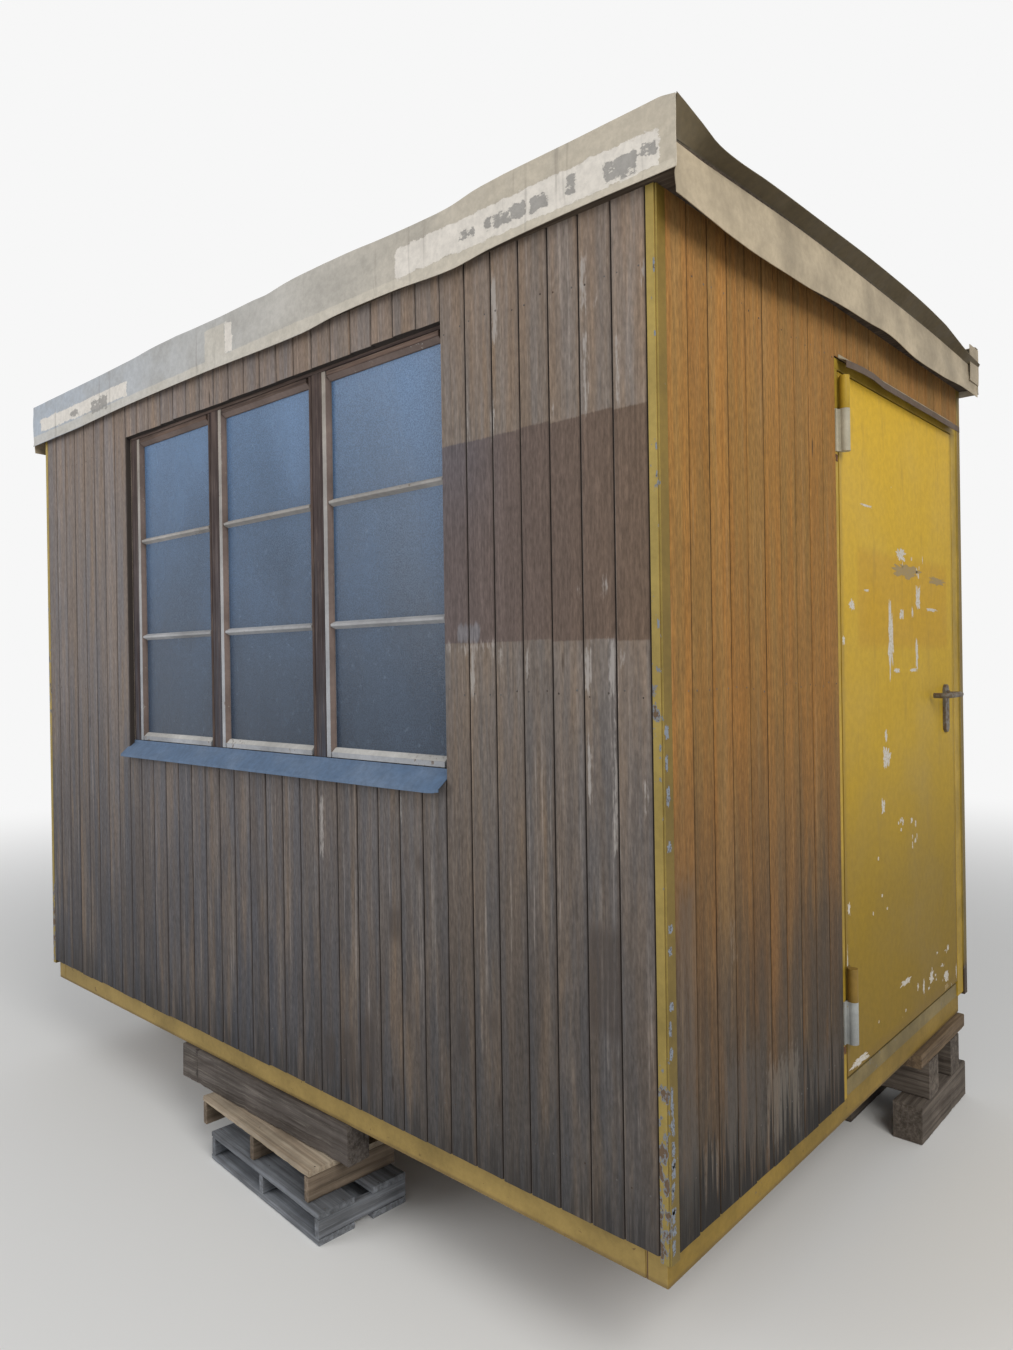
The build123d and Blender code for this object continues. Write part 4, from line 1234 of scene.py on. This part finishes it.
def verge(name, node, out, seed):
    """The wavy strip under the edge of the roof sheet."""
    low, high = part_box(node)
    shape = Shape(seed)
    seat = shape.random.uniform(0, 40)
    rows = 8
    inner = min(abs(low.x), abs(high.x))
    section = [(k / rows, 0) for k in range(rows + 1)] + [(k / rows, SHEET) for k in range(rows, -1, -1)]
    length = high.y - low.y

    def bend(t, a, o):
        y = low.y + length * t - CORNER.y
        foot, top = on_line(VERGE_LOW, y), on_line(VERGE_TOP, y)
        bulge = abs(noise.noise((seat, 6 * t, 2 * a))) * 0.010 * math.sin(math.pi * (1 - a) / 1.3)
        return CORNER.z + foot + (top - foot) * a - a, 0.0005 + bulge, 0

    shape.prism(section, out * inner + Y * low.y, Z, out, Y, length, 90, bend)
    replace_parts(piece(name, shape, verge_paint, smooth=35), node)


def roof():
    """The sheet over the crowned deck, in lapped widths, folded down at both sides and out as a flange."""
    low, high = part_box("roof_sheet")
    deck_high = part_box("roof_deck")[1]
    half, reach = deck_high.x, high.x
    middle, span = (low.y + high.y) / 2, (high.y - low.y) / 2
    top = [(-half, SHEET)]
    for x in ROOF_LAPS:
        top += [(x - 0.0005, SHEET), (x, SHEET + LAP), (x + 0.02, SHEET + LAP), (x + 0.024, SHEET)]
    top += [(half, SHEET)]
    right = [(half + SHEET, SHEET), (half + SHEET, -FLANGE_DROP + SHEET), (reach, SHEET / 2 - FLANGE_RIM),
             (reach, -SHEET / 2 - FLANGE_RIM), (half, -FLANGE_DROP)]
    left = [(-x, z) for x, z in reversed(right)]
    section = top + right + [(half, 0), (-half, 0)] + left

    def bend(t, x, z):
        """The crown, and at the flange's edge the measured curve, drawn in towards both its ends."""
        y = low.y + 2 * span * t
        u = (y - middle) / span
        if abs(x) <= reach - 0.001:
            return 0, -ROOF_CROWN * u * u, 0
        wanted = on_line(FLANGE_EDGE, y - CORNER.y) + CORNER.z
        drawn_in = max(0, 1 - 2 * span * t / 0.09) ** 1.5 * 0.026 + max(0, (t - 0.78) / 0.22) * 0.020
        return math.copysign(drawn_in, -x), wanted - (deck_high.z - FLANGE_RIM), 0

    shape = Shape(72)
    shape.prism(section, Vector((0, low.y, deck_high.z)), X, Z, Y, 2 * span, 100, bend)
    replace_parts(piece("roof_cover", shape, roof_zinc, smooth=25), "roof_sheet")


def rear_returns():
    """The short plates at the ends of the rear fascia."""
    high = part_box("rear_fascia")[1]
    shape = Shape(73)
    section = [(0, 0), (0, SHEET), (RETURN_CREASE, SHEET + 0.001), (RETURN_HEIGHT, SHEET), (RETURN_HEIGHT, 0),
               (RETURN_CREASE, 0.001)]
    for side in (X, -X):
        foot = side * high.x + Vector((0, high.y - RETURN_FROM_BACK, CORNER.z + RETURN_FOOT))
        shape.prism(section, foot, Z, side, Y, RETURN_LENGTH, 10)
    piece("rear_fascia_returns", shape, verge_paint)


def roof_coat(paint):
    """Dark olive-brown at the flange."""
    paint.cover((paint.x + CORNER.x).absolute().rise(1.565, 1.58), (0.082, 0.060, 0.028))


roof_zinc = zinc("roof zinc", (0.17, 0.17, 0.155), (0.25, 0.24, 0.21), 0.65, 0.05, roof_coat)
verge_paint = worn_paint("verge paint", (0.405, 0.335, 0.235), (0.24, 0.19, 0.12), (0.12, 0.09, 0.06),
                         chips=0.2, dirt=0.35, roughness=0.6)
fascia("front_fascia_sheet", "front_fascia", X, -Y, 70, 0.006)
fascia("rear_fascia_sheet", "rear_fascia", -X, Y, 71, 0.0022)
verge("right_verge_sheet", "right_verge", X, 74)
verge("left_verge_sheet", "left_verge", -X, 75)
roof()
rear_returns()


# Supports

def rough_edges(shape, amount, width, depth):
    """Nibbled corners along a sawn timber, always inwards."""
    seed = shape.random.uniform(0, 60)

    def bend(t, a, o):
        fine = noise.noise((seed + 3, 43 * t, 70 * a))
        nibble = abs(noise.noise((seed, 11 * t, 40 * a + 90 * o)) + 0.5 * fine)
        inward = 1 if a < width / 2 else -1
        upward = 1 if o < -depth / 2 else -1
        return inward * nibble * amount, upward * nibble * amount, 0

    return bend


def sawn(shape, low, high, axis, rough=0.002, turn=0.0, about=None):
    """One sawn timber between two corners, its grain along an axis, turned about an upright line."""
    size = high - low
    spin = Matrix.Rotation(turn, 3, "Z")
    about = about or low
    if axis == "x":
        across, along, width, length = Y, X, size.y, size.x
    else:
        across, along, width, length = X, Y, size.x, size.y
    origin = about + spin @ (Vector((low.x, low.y, high.z - TIMBER_INSET)) - about)
    depth = size.z - 2 * TIMBER_INSET
    c = min(0.003, size.z * 0.12)
    section = [(0, -depth + c), (0, -c), (c, 0), (width - c, 0), (width, -c), (width, -depth + c),
               (width - c, -depth), (c, -depth)]
    steps = max(6, round(length / FINE_STEP))
    shape.prism(section, origin, spin @ across, Z, spin @ along, length, steps,
                rough_edges(shape, rough, width, size.z))


def timbers(name, node, blocks, axis, material, seed, wear=None, rough=0.002):
    """Sawn timbers in place of a node: each block is its (low corner, high corner)."""
    shape = Shape(seed)
    for low, high in blocks:
        sawn(shape, low, high, axis, rough)
    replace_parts(piece(name, shape, material, wear=wear), node)


def pallet(name, node, length, low_boards, boards_wood, stringer_wood, seed):
    """Boards on three stringers, set a little askew, with nails at the crossings."""
    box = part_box(node)
    half = length / 2
    base, top = box[0].z, box[1].z
    origin = Vector((box[0].x + half * math.cos(PALLET_SKEW), box[0].y - half * math.sin(PALLET_SKEW), 0))
    boards, stringers, nails = [Shape(seed + k) for k in range(3)]
    foot = base + (PALLET_BOARD if low_boards else 0)
    levels = (top - PALLET_BOARD, base) if low_boards else (top - PALLET_BOARD,)
    board = Vector((length, PALLET_BOARD_WIDTH, PALLET_BOARD))
    for x in (-half, -PALLET_STRINGER / 2, half - PALLET_STRINGER):
        low = origin + Vector((x, 0.002, foot))
        high = origin + Vector((x + PALLET_STRINGER, PALLET_DEPTH, top - PALLET_BOARD))
        sawn(stringers, low, high, "y", PALLET_ROUGH, PALLET_SKEW, origin)
    for y in (0, PALLET_DEPTH - PALLET_BOARD_WIDTH):
        for z in levels:
            low = origin + Vector((-half, y, z))
            sawn(boards, low, low + board, "x", PALLET_ROUGH, PALLET_SKEW, origin)
        for x in (-half + 0.011, 0, half - 0.011):
            for inset in (0.03, 0.09):
                spot = Matrix.Rotation(PALLET_SKEW, 3, "Z") @ Vector((x, y + inset, 0))
                nails.dome(origin + spot + Z * (top - 0.0016), Z, 0.0035, 0.0014)
    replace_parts(piece(name, boards, boards_wood), node)
    piece(name + "_stringers", stringers, stringer_wood)
    piece(name + "_nails", nails, nail_iron)


def at_both_ends(node, *cuts):
    """The blocks of a node with the same timbers at both ends of the cabin, from cuts of (x0, x1, y0, y1)
    that start at the node's outer end and at its front."""
    low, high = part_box(node)
    blocks = []
    for x0, x1, y0, y1 in cuts:
        blocks.append((Vector((high.x - x1, low.y + y0, low.z)), Vector((high.x - x0, low.y + y1, high.z))))
        blocks.append((Vector((low.x + x0, low.y + y0, low.z)), Vector((low.x + x1, low.y + y1, high.z))))
    return blocks


def supports():
    """The beam and the pallets under the front, and the planks and sleepers under the back."""
    beam_wood = timber("beam wood", (0.125, 0.108, 0.098), (0.22, 0.20, 0.17), (0.065, 0.053, 0.046))
    pallet_wood = timber("pallet wood", (0.36, 0.30, 0.225), (0.44, 0.38, 0.30), (0.25, 0.195, 0.14))
    stringer_wood = timber("stringer wood", (0.22, 0.17, 0.125), (0.30, 0.25, 0.19), (0.12, 0.09, 0.065))
    grey_wood = timber("grey pallet wood", (0.225, 0.240, 0.265), (0.31, 0.33, 0.36), (0.13, 0.135, 0.145))
    plank_wood = timber("plank wood", (0.165, 0.115, 0.070), (0.25, 0.19, 0.125), (0.090, 0.062, 0.040))
    sleeper_wood = timber("sleeper wood", (0.135, 0.112, 0.092), (0.22, 0.19, 0.16), (0.066, 0.052, 0.042))

    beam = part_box("front_beam")
    crack = beam[0].x - CORNER.x + 0.085
    beam_wear = wear_from(X, 0.012, 0.05, ((crack, crack + 0.012, -0.115, 0.0),))
    timbers("front_beam_timber", "front_beam", [beam], "x", beam_wood, 80, beam_wear, 0.004)
    pallet("upper_pallet", "front_pallet_upper", 0.650, False, pallet_wood, stringer_wood, 82)
    pallet("lower_pallet", "front_pallet_lower", 0.640, True, grey_wood, grey_wood, 86)
    planks = at_both_ends("rear_planks", (0, 0.140, 0, 0.470))
    timbers("rear_plank_timbers", "rear_planks", planks, "y", plank_wood, 90)
    upper = at_both_ends("rear_sleepers_upper", (0, 0.330, 0, 0.095), (0, 0.330, 0.230, 0.325))
    timbers("rear_sleepers_across", "rear_sleepers_upper", upper, "x", sleeper_wood, 91)
    lower = at_both_ends("rear_sleepers_lower", (0, 0.095, 0, 0.470), (0.235, 0.330, 0, 0.470))
    timbers("rear_sleepers_along", "rear_sleepers_lower", lower, "y", sleeper_wood, 92)


supports()


# Stage, light and camera

def seen_or_mirrored(tree):
    """One for rays from the camera, a mirror or glass, nought for the rest."""
    path = tree.nodes.new("ShaderNodeLightPath")
    result = path.outputs["Is Camera Ray"]
    for kind in ("Glossy", "Transmission"):
        either = tree.nodes.new("ShaderNodeMath")
        either.operation = "MAXIMUM"
        tree.links.new(result, either.inputs[0])
        tree.links.new(path.outputs[f"Is {kind} Ray"], either.inputs[1])
        result = either.outputs[0]
    return result


def place_in_scene(name, data):
    made = bpy.data.objects.new(name, data)
    bpy.context.scene.collection.objects.link(made)
    return made


def stage():
    """A wide pale floor that keeps the shadow and fades into the background."""
    mesh = bpy.data.meshes.new("floor")
    corners = [(x * FLOOR_REACH, y * FLOOR_REACH, 0) for x, y in ((-1, -1), (1, -1), (1, 1), (-1, 1))]
    mesh.from_pydata(corners, [], [(0, 1, 2, 3)])
    paint = Paint("floor", roughness=0.9, specular_ior_level=0.1, base_color=(0.80, 0.80, 0.79))
    distance = paint.add("ShaderNodeVectorMath", {0: paint.place}, operation="LENGTH").outputs["Value"]
    faded = Value(paint, distance).rise(*FLOOR_FADE) * seen_or_mirrored(paint.tree)
    glow = paint.add("ShaderNodeEmission", {"Color": BACKGROUND, "Strength": 1.0}).outputs[0]
    both = paint.add("ShaderNodeMixShader", {0: faded, 1: paint.shader.outputs[0], 2: glow}).outputs[0]
    paint.tree.links.new(both, paint.tree.nodes["Material Output"].inputs["Surface"])
    mesh.materials.append(paint.material)
    place_in_scene("floor", mesh)


def world():
    """A white surround for what is seen or mirrored, and softer light from all round."""
    sky = bpy.data.worlds.new("studio")
    sky.use_nodes = True
    tree = sky.node_tree
    seen = tree.nodes["Background"]
    seen.inputs["Color"].default_value = BACKGROUND
    glow = tree.nodes.new("ShaderNodeBackground")
    glow.inputs["Color"].default_value = (0.97, 0.98, 1.0, 1)
    glow.inputs["Strength"].default_value = SKY_GLOW
    mix = tree.nodes.new("ShaderNodeMixShader")
    tree.links.new(seen_or_mirrored(tree), mix.inputs[0])
    tree.links.new(glow.outputs[0], mix.inputs[1])
    tree.links.new(seen.outputs[0], mix.inputs[2])
    tree.links.new(mix.outputs[0], tree.nodes["World Output"].inputs["Surface"])
    bpy.context.scene.world = sky


def lamp(name, place, size, power, colour):
    """A square light that looks at the middle of the cabin."""
    light = bpy.data.lights.new(name, "AREA")
    light.shape = "SQUARE"
    light.size = size
    light.energy = power
    light.color = colour
    made = place_in_scene(name, light)
    made.location = place
    made.rotation_euler = ((cad_low + cad_high) / 2 - Vector(place)).to_track_quat("-Z", "Y").to_euler()


def camera():
    """The photograph's view. The forward axis is turned by the yaw and pitch, then rolled."""
    forward = Vector((-math.sin(CAMERA_YAW) * math.cos(CAMERA_PITCH),
                      math.cos(CAMERA_YAW) * math.cos(CAMERA_PITCH), math.sin(CAMERA_PITCH)))
    right = forward.cross(Z).normalized()
    up = right.cross(forward)
    c, s = math.cos(CAMERA_ROLL), math.sin(CAMERA_ROLL)
    right, up = right * c + up * s, up * c - right * s
    view = bpy.data.cameras.new("camera")
    view.sensor_width = SENSOR
    view.lens = FOCAL_PIXELS * SENSOR / PHOTO_HEIGHT
    view.shift_x = (PHOTO_WIDTH / 2 - PHOTO_CENTRE[0]) / PHOTO_HEIGHT
    view.shift_y = (PHOTO_CENTRE[1] - PHOTO_HEIGHT / 2) / PHOTO_HEIGHT
    view.clip_end = 200
    made = place_in_scene("camera", view)
    turned = Matrix((right, up, -forward)).transposed().to_4x4()
    made.matrix_world = Matrix.Translation(CORNER + CAMERA_FROM_CORNER) @ turned
    bpy.context.scene.camera = made


stage()
world()
for row in LAMPS:
    lamp(*row)
camera()
bpy.context.scene.view_settings.view_transform = "Standard"
